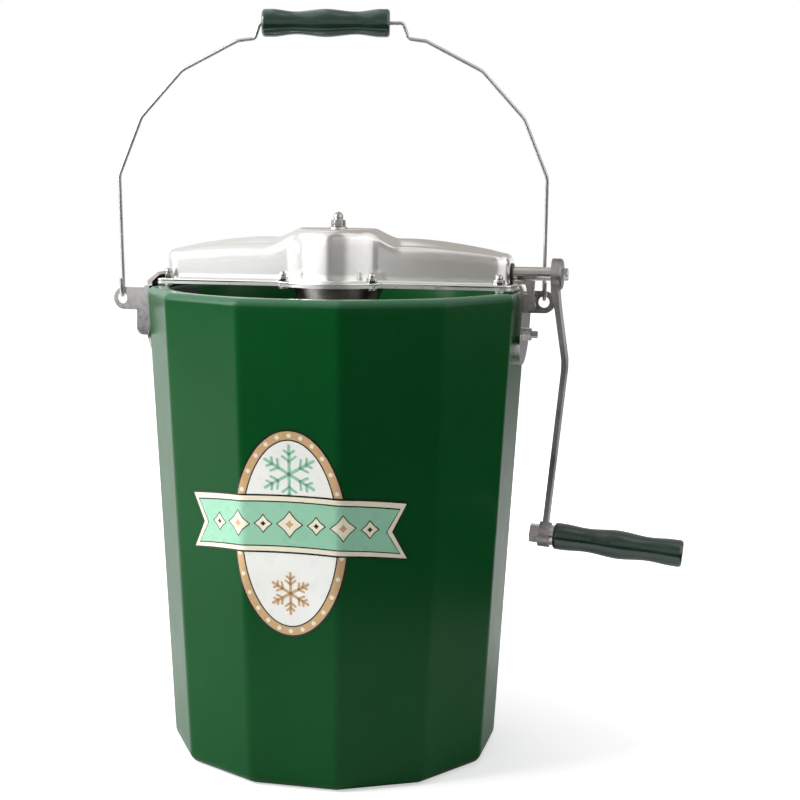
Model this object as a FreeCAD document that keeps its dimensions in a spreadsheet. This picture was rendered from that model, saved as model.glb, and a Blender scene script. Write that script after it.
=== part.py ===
import FreeCAD, Part
import math
import os
import Sketcher
from FreeCAD import Placement, Rotation, Vector

# A hand crank ice cream freezer: a twelve-sided tub, a cranked gear frame latched across its rim,
# a turning can with a fixed dasher inside it, and a wire bail to carry it by.
# Millimetres. The origin is the middle of the tub's base, +Z is up and +X is the crank side.

doc = FreeCAD.newDocument("freezer")

# Driving dimensions, one for each row: its name in the sheet and its size.
SIZES = [
    # tub
    ("tub_height", 395.0), ("tub_top_radius", 162.0), ("tub_base_radius", 139.5),
    ("tub_rim_bore", 142.0), ("tub_floor_bore", 121.0), ("tub_floor", 15.0),
    ("tub_rim_round", 4.5), ("tub_base_round", 8.0),
    # side brackets and their bolts
    ("strap_thick", 4.2), ("left_strap_half", 35.0), ("right_strap_half", 16.0), ("strap_drop", 62.0),
    ("strap_round", 26.0),
    ("ear_side", 36.0), ("ear_thick", 3.2), ("ear_top", 1.5), ("ear_bar", 4.75), ("ear_hole", 4.75),
    ("ear_end", 9.5), ("left_ear_out", 24.52), ("right_ear_out", 14.52), ("left_ear_tip", 7.2),
    ("right_ear_tip", 9.5), ("rib_reach", 6.9), ("rib_drop", 42.0), ("rib_lap", 1.0),
    ("lip_thick", 2.5), ("lip_gap", 0.4), ("left_lip_half", 30.0), ("tab_half", 5.0), ("tab_side", -2.0),
    ("tab_rise", 5.0), ("bolt_radius", 3.0), ("bolt_drop", 35.4),
    ("bolt_nut_flats", 10.0), ("bolt_nut_thick", 6.6), ("bolt_tip", 5.2), ("bolt_head", 6.5),
    ("bolt_head_thick", 3.0), ("seat_gap", 0.3), ("hole_gap", 0.3), ("backing_thick", 2.2),
    ("backing_half", 30.0), ("backing_top", 5.0), ("backing_drop", 50.0),
    # latch
    ("latch_side", 11.5), ("latch_width", 4.4), ("latch_gap", 0.3), ("cheek_thick", 1.9),
    ("latch_base_drop", 17.0), ("cheek_reach", 9.3), ("latch_pin_drop", 11.0), ("latch_pin_out", 6.3),
    ("latch_pin_radius", 1.5), ("latch_boss", 3.4), ("latch_thick", 2.8), ("latch_hold", 1.5),
    ("latch_knob", 2.4), ("pin_stub", 0.6), ("cheek_slope", 3.0), ("cheek_shoulder", 5.0),
    ("cheek_top", 1.0),
    # gear frame
    ("frame_lift", 2.0), ("pan_thick", 2.3), ("cover_flange", 2.1), ("frame_gap", 3.5),
    ("frame_side", 31.5), ("frame_bulge", 54.0), ("frame_corner", 6.0), ("foot_width", 6.0),
    ("sheet", 2.0), ("arm_half", 21.0), ("end_lip", 4.5), ("arm_fold", 29.7), ("arm_round", 8.0),
    ("tower_radius", 40.0), ("tower_fold", 36.0), ("tower_top_radius", 31.5), ("tower_top", 49.5),
    ("ridge_end_height", 31.6),
    ("dish_radius", 40.0), ("dish_floor_radius", 33.0), ("dish_depth", 14.0),
    ("screw_radius", 2.4), ("screw_head", 4.2), ("screw_head_thick", 1.7), ("cap_flats", 8.0),
    ("cap_hex", 4.0), ("cap_height", 8.7), ("end_screw_inset", 10.5), ("end_screw_side", 26.5),
    ("bulge_screw_reach", 38.0), ("bulge_screw_side", 35.0),
    # centre post
    ("post_radius", 4.0), ("post_shoulder", 8.0), ("post_square", 6.0), ("socket_depth", 8.0),
    ("socket_gap", 0.5),
    ("post_cap_flats", 12.7), ("post_cap_hex", 6.5), ("post_cap_height", 12.2), ("washer_thick", 1.4),
    ("fit", 0.06),
    # crank
    ("shaft_rise", 14.8), ("shaft_radius", 5.55), ("shaft_end_radius", 4.0), ("shaft_start", 16.5),
    ("bush_flange", 8.35), ("bush_flange_thick", 1.5), ("bush_radius", 7.5), ("bush_length", 9.0),
    ("block_start", 32.0), ("block_length", 9.0), ("block_half", 14.0), ("block_rise", 10.0),
    ("collar_radius", 9.0), ("collar_length", 8.0), ("pin_radius", 1.25),
    ("arm_gap", 25.62), ("hub_length", 8.7), ("hub_radius", 13.0), ("hub_round", 2.5),
    ("crank_width", 18.0), ("crank_thick", 4.0), ("crank_bow_out", 9.9), ("crank_bow_drop", 59.5),
    ("crank_foot_in", 3.6), ("crank_neck_drop", 14.0), ("crank_neck_out", 3.5), ("bow_half", 4.0),
    ("boss_in", 1.6), ("boss_drop", 203.3), ("boss_length", 9.5), ("boss_radius", 10.5),
    ("grip_tilt", 4.94), ("crank_screw_flats", 10.0), ("crank_screw_thick", 4.2),
    ("grip_bolt_radius", 3.2), ("grip_nut_flats", 14.3), ("grip_nut_thick", 7.6),
    ("grip_washer_radius", 8.5), ("grip_washer_thick", 2.7), ("grip_bolt_head", 6.0),
    ("grip_bolt_head_thick", 3.0), ("crank_grip_length", 106.8), ("crank_grip_end", 11.3),
    ("crank_grip_waist", 10.1), ("crank_grip_middle", 12.0), ("grip_round", 3.0), ("side_gap", 0.3),
    # bevel gears
    ("gear_module", 1.5), ("face_width", 8.0), ("tooth_half", 0.75), ("addendum", 1.0),
    ("dedendum", 1.5), ("gear_web", 4.0), ("gear_hub", 16.0), ("gear_neck", 12.0),
    ("neck_drop", 21.0), ("gear_socket", 9.0), ("slot_half", 4.0), ("slot_depth", 5.0),
    ("thrust_thick", 1.5), ("gear_bush", 14.5), ("gear_bush_flange", 18.0),
    # can and dasher
    ("can_radius", 98.0), ("can_wall", 1.0), ("can_lift", 12.0), ("can_floor", 1.5), ("can_drop", 43.0),
    ("can_bead", 1.3), ("can_round", 3.0), ("lid_rise", 14.0), ("lid_sheet", 1.4), ("lid_skirt", 18.0),
    ("lid_neck", 14.0), ("lid_step", 6.0), ("lid_slope", 4.0), ("lid_ledge", 8.0), ("lid_crease", 12.0),
    ("neck_gap", 1.2), ("lug_gap", 0.3), ("pivot_radius", 6.0), ("pivot_cup", 22.0),
    ("pivot_cup_height", 8.0), ("pivot_gap", 0.1), ("pivot_seat", 2.25), ("pivot_tip", 3.0),
    ("socket_wall", 3.0), ("socket_rise", 8.0), ("stem_radius", 8.0), ("dasher_inset", 12.0),
    ("dasher_bar", 10.0), ("dasher_thick", 8.0), ("dasher_lift", 15.5), ("dasher_gap", 7.0),
    ("blade_gap", 0.6), ("blade_inset", 20.5), ("blade_thick", 6.0), ("blade_edge", 0.4),
    ("blade_bevel", 4.0),
    # bail
    ("wire_radius", 1.5), ("hook_radius", 4.9), ("hook_free_end", 11.0), ("bail_lean", 10.5),
    ("bail_grip_length", 104.0), ("bail_grip_end", 11.3), ("bail_grip_waist", 9.2),
    ("bail_grip_shift", -4.5),
]

# Ridge of the gear frame's roof from its ends inward: distance from the middle along X and height
# over the rim.
RIDGE = [("ridge_slope", 109.0, 36.6), ("ridge_crown", 80.0, 41.0),
         ("ridge_flat", 52.0, 42.2), ("ridge_rise", 44.0, 46.0), ("ridge_tower", 30.0, 49.4)]

# Bends of the bail's wire, from a leg up to the grip: distance from the middle along the hinge line,
# height over it and radius of the bend.
BAIL_BENDS = [("bail_leg", 179.0, 98.0, 14.0), ("bail_shoulder", 158.6, 146.8, 14.0),
              ("bail_haunch", 123.5, 185.4, 14.0), ("bail_crown", 77.1, 209.5, 8.0),
              ("bail_step", 62.8, 211.3, 3.5), ("bail_neck", 58.5, 223.8, 3.5)]

TUB_SIDES = 12
PINION_TEETH = 12
GEAR_TEETH = 36

sheet = doc.addObject("Spreadsheet::Sheet", "Sizes")
for name, reach, height in RIDGE:
    SIZES += [(name + "_reach", reach), (name + "_height", height)]
for name, reach, height, bend in BAIL_BENDS:
    SIZES += [(name + "_reach", reach), (name + "_height", height), (name + "_bend", bend)]
for row, (name, number) in enumerate(SIZES, start=1):
    sheet.set("A%d" % row, name)
    sheet.set("B%d" % row, str(number))
    sheet.setAlias("B%d" % row, name)
doc.recompute()


class Size:
    """A size with its value now and the expression that gives it from the sheet."""

    def __init__(self, value, text):
        self.value = float(value)
        self.text = text

    def __add__(self, other):
        other = sized(other)
        return Size(self.value + other.value, "(%s + %s)" % (self.text, other.text))

    def __sub__(self, other):
        other = sized(other)
        return Size(self.value - other.value, "(%s - %s)" % (self.text, other.text))

    def __mul__(self, other):
        other = sized(other)
        return Size(self.value * other.value, "(%s * %s)" % (self.text, other.text))

    def __truediv__(self, other):
        other = sized(other)
        return Size(self.value / other.value, "(%s / %s)" % (self.text, other.text))

    def __neg__(self):
        return Size(-self.value, "(0 - %s)" % self.text)

    def __radd__(self, other):
        return sized(other) + self

    def __rsub__(self, other):
        return sized(other) - self

    def __rmul__(self, other):
        return sized(other) * self

    def __float__(self):
        return self.value


def sized(item):
    return item if isinstance(item, Size) else Size(item, repr(float(item)))


class Sheet:
    """Gives each size of the sheet by its name."""

    def __getattr__(self, name):
        return Size(sheet.get(name), "Sizes." + name)


S = Sheet()


def cosine(degrees):
    return Size(math.cos(math.radians(degrees)), "cos(%r)" % degrees)


def sine(degrees):
    return Size(math.sin(math.radians(degrees)), "sin(%r)" % degrees)


RIM = S.tub_height
SHAFT = RIM + S.shaft_rise
FLAT = cosine(180.0 / TUB_SIDES)
FACET_TOP = S.tub_top_radius * FLAT
FACET_BASE = S.tub_base_radius * FLAT
PAN_TOP = RIM + S.frame_lift + S.pan_thick
COVER_BASE = PAN_TOP + S.cover_flange
TOWER_TOP = RIM + S.tower_top
DISH_FLOOR = RIM - S.dish_depth
FRAME_HALF = FACET_TOP - S.frame_gap
ARM_END = FRAME_HALF - S.end_lip
ARM_INNER = FACET_TOP + S.arm_gap
HUB_OUT = ARM_INNER + S.hub_length
BOSS_REACH = ARM_INNER - S.boss_in
LEFT_EAR = FACET_TOP + S.left_ear_out
RIGHT_EAR = FACET_TOP + S.right_ear_out
CAN_BASE = S.tub_floor + S.can_lift
CAN_FLOOR = CAN_BASE + S.can_floor
CAN_TOP = RIM - S.can_drop
LID_TOP = CAN_TOP + S.lid_rise
DASHER_LOW = CAN_FLOOR + S.dasher_lift
DASHER_HIGH = CAN_TOP - S.dasher_gap
DASHER_REACH = S.can_radius - S.dasher_inset
SOCKET_TOP = RIM - S.neck_drop + S.neck_gap + S.socket_depth


def facet_at(height):
    """Distance from the axis to the middle of a tub side at a height."""
    return FACET_BASE + (FACET_TOP - FACET_BASE) * height / RIM


def bore_at(height):
    """Radius of the tub's round bore at a height."""
    share = (height - S.tub_floor) / (RIM - S.tub_floor)
    return S.tub_floor_bore + (S.tub_rim_bore - S.tub_floor_bore) * share


# Shared ways of making features.

def bind(item, prop, size):
    """Give a property its value and the expression that keeps it."""
    size = sized(size)
    item.setExpression(prop, size.text)


def place(item, at=(0, 0, 0), axis=(0, 0, 1), degrees=0.0):
    """Set an object's Placement, with its position bound to the sheet."""
    spot = [float(value) for value in at]
    item.Placement = Placement(Vector(*spot), Rotation(Vector(*axis), degrees))
    for letter, value in zip("xyz", at):
        if isinstance(value, Size):
            bind(item, "Placement.Base." + letter, value)


def new_body(name):
    body = doc.addObject("PartDesign::Body", name)
    body.Label = name
    return body


def new_sketch(body, name, role, offset=None):
    """A sketch on one of the body's own origin planes, lifted off it by an offset."""
    planes = [item for item in body.Origin.OriginFeatures if item.Role == role]
    sketch = body.newObject("Sketcher::SketchObject", body.Name + "_" + name)
    sketch.AttachmentSupport = [(planes[0], "")]
    sketch.MapMode = "FlatFace"
    if offset is not None:
        bind(sketch, "AttachmentOffset.Base.z", offset)
    return sketch


def pin_point(sketch, geometry, end, point):
    """Fix a point of a sketch at its two bound distances from the sketch's origin."""
    for kind, axis, value in zip(("DistanceX", "DistanceY"), (-2, -1), point):
        value = sized(value)
        if abs(value.value) < 1e-9:
            sketch.addConstraint(Sketcher.Constraint("PointOnObject", geometry, end, axis))
            continue
        rule = sketch.addConstraint(Sketcher.Constraint(kind, -1, 1, geometry, end, value.value))
        sketch.setExpression("Constraints[%d]" % rule, value.text)


def draw_polygon(sketch, corners):
    first = sketch.GeometryCount
    count = len(corners)
    spots = [Vector(float(corner[0]), float(corner[1]), 0) for corner in corners]
    for index in range(count):
        line = Part.LineSegment(spots[index], spots[(index + 1) % count])
        sketch.addGeometry(line, False)
    for index in range(count):
        follower = first + (index + 1) % count
        sketch.addConstraint(Sketcher.Constraint("Coincident", first + index, 2, follower, 1))
    for index, corner in enumerate(corners):
        pin_point(sketch, first + index, 1, corner)


def draw_circle(sketch, centre, radius):
    spot = Vector(float(centre[0]), float(centre[1]), 0)
    circle = sketch.addGeometry(Part.Circle(spot, Vector(0, 0, 1), float(radius)), False)
    pin_point(sketch, circle, 3, centre)
    rule = sketch.addConstraint(Sketcher.Constraint("Radius", circle, float(radius)))
    sketch.setExpression("Constraints[%d]" % rule, sized(radius).text)


def polygon_sketch(body, name, role, corners, offset=None):
    sketch = new_sketch(body, name, role, offset)
    draw_polygon(sketch, corners)
    return sketch


def circle_sketch(body, name, role, circles, offset=None):
    sketch = new_sketch(body, name, role, offset)
    for centre, radius in circles:
        draw_circle(sketch, centre, radius)
    return sketch


def feature(body, kind, name, profile, **settings):
    """A PartDesign feature of a body, with its settings given or bound."""
    item = body.newObject("PartDesign::" + kind, body.Name + "_" + name)
    item.Profile = profile
    for prop, value in settings.items():
        if isinstance(value, Size):
            bind(item, prop, value)
        else:
            setattr(item, prop, value)
    return item


def pad(body, name, sketch, length, both_ways=False, reverse=False):
    item = feature(body, "Pad", name, sketch, Length=sized(length), Reversed=reverse)
    if both_ways:
        item.Midplane = True
    return item


def cut_through(body, name, sketch):
    """A pocket that runs both ways through everything."""
    item = feature(body, "Pocket", name, sketch, Midplane=True)
    item.Type = "ThroughAll"
    return item


def cut_deep(body, name, sketch, length, reverse=False):
    return feature(body, "Pocket", name, sketch, Length=sized(length), Reversed=reverse)


def spin(body, kind, name, corners):
    """Turn a profile of radii and heights right round the body's Z axis."""
    sketch = polygon_sketch(body, name + "_profile", "XZ_Plane", corners)
    return feature(body, kind, name, sketch, ReferenceAxis=(sketch, ["V_Axis"]), Angle=360.0)


def turned_body(name, corners):
    body = new_body(name)
    spin(body, "Revolution", "turning", corners)
    return body


def round_edges(body, name, radius, wanted):
    """Fillet the edges of a body's last feature that a test picks out."""
    doc.recompute()
    base = body.Tip
    edges = ["Edge%d" % number for number, edge in enumerate(base.Shape.Edges, 1) if wanted(edge)]
    item = body.newObject("PartDesign::Fillet", body.Name + "_" + name)
    item.Base = (base, edges)
    bind(item, "Radius", radius)
    return item


def middle(edge):
    return edge.valueAt((edge.FirstParameter + edge.LastParameter) / 2)


def along(edge, axis):
    """Whether a straight edge runs nearly along an axis."""
    if len(edge.Vertexes) < 2:
        return False
    run = edge.Vertexes[1].Point - edge.Vertexes[0].Point
    return run.Length > 0.1 and abs(run.normalize().dot(Vector(*axis))) > 0.98


def near(value, size, slack=0.05):
    return abs(value - float(size)) < slack


def primitive(kind, name, at=(0, 0, 0), axis=(0, 0, 1), degrees=0.0, **sizes):
    item = doc.addObject("Part::" + kind, name)
    for prop, size in sizes.items():
        bind(item, prop, size)
    place(item, at, axis, degrees)
    return item


def cut_from(name, base, tool):
    item = doc.addObject("Part::Cut", name)
    item.Base = base
    item.Tool = tool
    item.Label = name
    return item


def shape_piece(name, shape, placement=None):
    """A piece whose shape is worked out from the sheet's sizes."""
    item = doc.addObject("Part::Feature", name)
    item.Label = name
    item.Shape = shape
    if placement is not None:
        item.Placement = placement
    return item


def hexagon(flats, thick, bore=0.0):
    """A hexagonal prism up from Z = 0, with a round bore if one is given."""
    corner = flats / 2 / math.cos(math.radians(30))
    points = [Vector(corner * math.cos(turn), corner * math.sin(turn), 0)
              for turn in (math.radians(60 * k + 30) for k in range(7))]
    prism = Part.Face(Part.makePolygon(points)).extrude(Vector(0, 0, thick))
    if bore > 0:
        prism = prism.cut(Part.makeCylinder(bore, thick))
    return prism


def cap_nut(flats, hex_height, height, bore):
    """A domed nut: a hexagon with a round cap, bored blind from below."""
    dome_radius = flats / 2 * 0.94
    cap = Part.makeCylinder(dome_radius, height - hex_height - dome_radius / 2, Vector(0, 0, hex_height))
    dome = Part.makeSphere(dome_radius, Vector(0, 0, 0))
    dome = dome.common(Part.makeCylinder(dome_radius, dome_radius))
    squash = FreeCAD.Matrix()
    squash.scale(1, 1, 0.5)
    dome = dome.transformGeometry(squash)
    dome.translate(Vector(0, 0, height - dome_radius / 2))
    solid = hexagon(flats, hex_height).fuse([cap, dome]).removeSplitter()
    return solid.cut(Part.makeCylinder(bore, height * 0.6))


def turned_copies(shape, count, axis=Vector(0, 0, 1)):
    copies = []
    for index in range(count):
        copy = shape.copy()
        copy.rotate(Vector(0, 0, 0), axis, 360.0 * index / count)
        copies.append(copy)
    return copies


# Tub.

def make_tub():
    body = new_body("tub")
    turns = [360.0 / TUB_SIDES * (k + 0.5) for k in range(TUB_SIDES)]
    corners = [(S.tub_base_radius * cosine(turn), S.tub_base_radius * sine(turn)) for turn in turns]
    sides = pad(body, "sides", polygon_sketch(body, "base", "XY_Plane", corners), RIM)
    sides.setExpression("TaperAngle", "atan(%s)" % ((FACET_TOP - FACET_BASE) / RIM).text)
    round_edges(body, "base_edge", S.tub_base_round, lambda edge: near(middle(edge).z, 0))
    round_edges(body, "rim_edge", S.tub_rim_round, lambda edge: near(middle(edge).z, RIM))
    spin(body, "Groove", "bore", [(0, S.tub_floor), (S.tub_floor_bore, S.tub_floor),
                                  (S.tub_rim_bore, RIM), (0, RIM)])
    cut_through(body, "bolt_bores", bolt_hole_sketch(body))
    return body


def bolt_hole_sketch(body):
    """The bolt hole of a side, seen along X."""
    return circle_sketch(body, "bolt_hole", "YZ_Plane", [
        ((0, RIM - S.bolt_drop), S.bolt_radius + S.hole_gap)])


# Side brackets, bolted flat on two opposite sides of the tub.

def make_bracket(name, half, ear_centre, tip_reach, ribbed, lip, lip_side, lip_half, turn):
    body = new_body(name)
    low = RIM - S.strap_drop
    thick = S.strap_thick
    strap = polygon_sketch(body, "strap", "XZ_Plane", [
        (facet_at(low), low), (FACET_TOP, RIM), (FACET_TOP + thick, RIM), (facet_at(low) + thick, low)],
        half)
    pad(body, "strap_pad", strap, half + S.ear_side + S.ear_thick / 2, reverse=True)
    round_edges(body, "strap_corners", S.strap_round,
                lambda edge: near(middle(edge).z, low) and along(edge, (1, 0, 0)))
    edge_reach = S.ear_side - S.ear_thick / 2
    ear_low = RIM - S.ear_top - S.ear_end * 2
    ear_tip = ear_centre + tip_reach
    ear = polygon_sketch(body, "ear", "XZ_Plane", [
        (FACET_TOP + thick / 2, ear_low), (ear_tip, ear_low), (ear_tip, RIM - S.ear_top),
        (FACET_TOP + thick / 2, RIM - S.ear_top)], -edge_reach)
    pad(body, "ear_pad", ear, S.ear_thick, reverse=True)
    round_edges(body, "ear_tip", S.ear_end * 0.99,
                lambda edge: near(middle(edge).x, ear_tip) and along(edge, (0, 1, 0)))
    if ribbed:
        add_rib(body, ear_low, edge_reach)
    hole = circle_sketch(body, "ear_hole", "XZ_Plane",
                         [((ear_centre, RIM - S.ear_top - S.ear_bar - S.ear_hole), S.ear_hole)])
    cut_deep(body, "ear_bore", hole, S.ear_side * 2)
    top = polygon_sketch(body, "lip", "XZ_Plane", lip, lip_side + lip_half)
    pad(body, "lip_pad", top, lip_half * 2, reverse=True)
    cut_deep(body, "bolt_bores", bolt_hole_sketch(body), FACET_TOP * 2, reverse=True)
    place(body, (0, 0, 0), (0, 0, 1), turn)
    return body


def add_rib(body, ear_low, edge_reach):
    """A rounded rib under an ear, in line with it."""
    low = RIM - S.rib_drop
    tip = FACET_TOP + S.strap_thick + S.rib_reach
    root = facet_at(low) + S.strap_thick / 2
    high = ear_low + S.rib_lap
    rib = polygon_sketch(body, "rib", "XZ_Plane", [(root, low), (tip, low), (tip, high), (root, high)],
                         -edge_reach)
    pad(body, "rib_pad", rib, S.ear_thick, reverse=True)
    round_edges(body, "rib_end", S.rib_reach * 0.9,
                lambda edge: near(middle(edge).x, tip) and near(middle(edge).z, low))


def left_lip():
    """A lip that leans in over the frame's flange to hold its end down."""
    reach = FACET_TOP - FRAME_HALF + S.lip_gap
    low = COVER_BASE - reach * 0.9 + S.lip_gap
    tip = FRAME_HALF - S.lip_thick * 1.4
    tip_rise = low + (FACET_TOP - tip) * 0.9
    return [(FACET_TOP, RIM - 2), (FACET_TOP, low), (tip, tip_rise),
            (tip + S.lip_thick * 0.67, tip_rise + S.lip_thick * 0.74),
            (FACET_TOP + S.strap_thick, low + S.lip_thick * 0.3), (FACET_TOP + S.strap_thick, RIM - 2)]


def right_tab():
    """A short upright tab that stands beside the frame's end."""
    return [(FACET_TOP, RIM - 2), (FACET_TOP - S.lip_gap * 4, RIM + S.tab_rise),
            (FACET_TOP + S.lip_gap, RIM + S.tab_rise), (FACET_TOP + S.strap_thick, RIM - 2)]


def make_backing_plate(name, turn):
    """A curved plate on the bore's wall that spreads the load of the bolt."""
    low = RIM - S.backing_drop
    tall = S.backing_drop - S.backing_top
    shells = []
    for part_name, inset in (("outer", S.seat_gap), ("inner", S.seat_gap + S.backing_thick)):
        shells.append(primitive("Cone", name + "_" + part_name, (0, 0, low),
                                Radius1=bore_at(low) - inset, Radius2=bore_at(low + tall) - inset,
                                Height=tall))
    shell = cut_from(name + "_shell", shells[0], shells[1])
    window = primitive("Box", name + "_window", (0, -S.backing_half, low), Length=S.tub_rim_bore,
                       Width=S.backing_half * 2, Height=tall)
    plate = doc.addObject("Part::Common", name + "_plate")
    plate.Base = shell
    plate.Tool = window
    hole = primitive("Cylinder", name + "_hole", (0, 0, RIM - S.bolt_drop), (0, 1, 0), 90.0,
                     Radius=S.bolt_radius + S.hole_gap, Height=S.tub_rim_bore)
    item = cut_from(name, plate, hole)
    place(item, (0, 0, 0), (0, 0, 1), turn)
    return item


def bolt_places():
    """Where the two bracket bolts cross the tub's sides, pointing outward."""
    rise = float(RIM - S.bolt_drop)
    face = float(facet_at(RIM - S.bolt_drop) + S.strap_thick + S.seat_gap)
    local = Placement(Vector(face, 0, rise), Rotation(Vector(0, 1, 0), 90.0))
    return [Placement(Vector(0, 0, 0), Rotation(Vector(0, 0, 1), turn)).multiply(local)
            for turn in (0.0, 180.0)]


def make_bracket_bolts():
    """Round-headed bolts from inside the bore, out through the wall and the bracket."""
    rise = RIM - S.bolt_drop
    plate = float(bore_at(rise - S.bolt_head) - S.backing_thick - S.seat_gap)
    seat = math.sqrt(plate ** 2 - float(S.bolt_head) ** 2)
    start = seat - float(facet_at(rise) + S.strap_thick + S.seat_gap * 2)
    end = S.bolt_nut_thick.value + S.bolt_tip.value
    shank = Part.makeCylinder(S.bolt_radius.value, end - start, Vector(0, 0, start))
    head = Part.makeCylinder(S.bolt_head.value, S.bolt_head_thick.value,
                             Vector(0, 0, start - S.bolt_head_thick.value))
    head = head.makeFillet(S.bolt_head_thick.value * 0.6, [head.Edges[2]])
    bolt = shank.fuse(head).removeSplitter()
    return shape_piece("bracket_bolts", Part.makeCompound([moved(bolt, spot) for spot in bolt_places()]))


def make_bracket_nuts():
    nut = hexagon(S.bolt_nut_flats.value, S.bolt_nut_thick.value, S.bolt_radius.value)
    return shape_piece("bracket_nuts", Part.makeCompound([moved(nut, spot) for spot in bolt_places()]))


def moved(shape, placement):
    copy = shape.copy()
    copy.Placement = placement.multiply(copy.Placement)
    return copy


# Latch on the crank side, which holds the frame's end down.

def make_latch_base():
    body = new_body("latch_base")
    back = FACET_TOP + S.strap_thick
    low = RIM - S.latch_base_drop
    half = S.latch_width / 2 + S.latch_gap + S.cheek_thick
    profile = polygon_sketch(body, "cheeks", "XZ_Plane", [
        (back, low), (back + S.cheek_reach, low + S.cheek_slope),
        (back + S.cheek_reach, RIM - S.cheek_shoulder), (back + S.cheek_reach * 0.6, RIM - S.cheek_top),
        (back, RIM - S.cheek_top)], S.latch_side + half)
    pad(body, "cheek_pad", profile, half * 2, reverse=True)
    slot_half = S.latch_width / 2 + S.latch_gap
    floor = back + S.cheek_thick
    tip = back + S.cheek_reach + 1.0
    slot = polygon_sketch(body, "slot", "XZ_Plane", [
        (floor, low - 1.0), (tip, low - 1.0), (tip, RIM), (floor, RIM)], S.latch_side + slot_half)
    cut_deep(body, "slot_cut", slot, slot_half * 2)
    bore = circle_sketch(body, "pin_bore", "XZ_Plane",
                         [((back + S.latch_pin_out, RIM - S.latch_pin_drop), S.latch_pin_radius)])
    cut_through(body, "pin_cut", bore)
    return body


def make_latch_hook():
    """The hook: an upright from its pin, a thumb knob and a nose over the frame's end."""
    body = new_body("latch_hook")
    pivot = FACET_TOP + S.strap_thick + S.latch_pin_out
    low = RIM - S.latch_pin_drop
    inner = FACET_TOP + S.strap_thick + S.cheek_thick + S.latch_gap
    nose_low = COVER_BASE + S.latch_gap
    nose_top = nose_low + S.latch_thick
    outer = pivot + S.latch_thick * 0.7
    side = S.latch_side + S.latch_width / 2
    nose = FRAME_HALF - S.latch_hold
    profile = polygon_sketch(body, "hook", "XZ_Plane", [
        (inner + 0.6, low), (outer, low), (outer, RIM + 2.0), (pivot + S.latch_knob, nose_top),
        (inner, nose_top + 0.6), (nose + 1.0, nose_top), (nose, nose_low),
        (inner - 1.2, nose_low), (inner + 0.3, RIM + 2.0)], side)
    pad(body, "hook_pad", profile, S.latch_width, reverse=True)
    boss = circle_sketch(body, "boss", "XZ_Plane", [((pivot, low), S.latch_boss)], side)
    pad(body, "boss_pad", boss, S.latch_width, reverse=True)
    bore = circle_sketch(body, "bore", "XZ_Plane", [((pivot, low), S.latch_pin_radius + S.fit)])
    cut_through(body, "bore_cut", bore)
    return body


def make_latch_pin():
    half = S.latch_width / 2 + S.latch_gap + S.cheek_thick + S.pin_stub
    spot = (FACET_TOP + S.strap_thick + S.latch_pin_out, half - S.latch_side, RIM - S.latch_pin_drop)
    return primitive("Cylinder", "latch_pin", spot, (1, 0, 0), 90.0, Radius=S.latch_pin_radius,
                     Height=half * 2)


# Gear frame: a pressed cover with two arms and a round tower, closed below by a pan.

def screw_spots():
    spots = []
    for along_x, across in ((FRAME_HALF - S.end_screw_inset, S.end_screw_side),
                            (S.bulge_screw_reach, S.bulge_screw_side)):
        for side_x in (-1, 1):
            for side_y in (-1, 1):
                spots.append((side_x * along_x, side_y * across))
    return spots


def make_flange(body, base, thick):
    """The flat flange both pressings share: a long strap with a round bulge in the middle."""
    half = FRAME_HALF
    side = S.frame_side
    strap = polygon_sketch(body, "flange", "XY_Plane",
                           [(-half, -side), (half, -side), (half, side), (-half, side)], base)
    pad(body, "flange_pad", strap, thick)
    round_edges(body, "flange_corners", S.frame_corner, lambda edge: along(edge, (0, 0, 1)))
    bulge = circle_sketch(body, "bulge", "XY_Plane", [((0, 0), S.frame_bulge)], base)
    pad(body, "bulge_pad", bulge, thick)


def arm_section(body, name, side, reach, ridge, inset, base):
    """A gabled section of an arm: upright walls to the fold, then slopes to the ridge."""
    half = S.arm_half - inset
    fold = RIM + S.arm_fold - inset * 0.5
    return polygon_sketch(body, name, "YZ_Plane", [
        (-half, base), (half, base), (half, fold), (0, RIM + ridge - inset), (-half, fold)], side * reach)


def arm_loft(body, kind, word, side, inset, base):
    sections = [
        arm_section(body, word + "_ridge_end", side, ARM_END - inset, S.ridge_end_height, inset, base)]
    for name, number, height in RIDGE:
        sections.append(arm_section(body, word + "_" + name, side, getattr(S, name + "_reach"),
                                    getattr(S, name + "_height"), inset, base))
    feature(body, kind, word, sections[0], Sections=sections[1:], Ruled=True)


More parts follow.
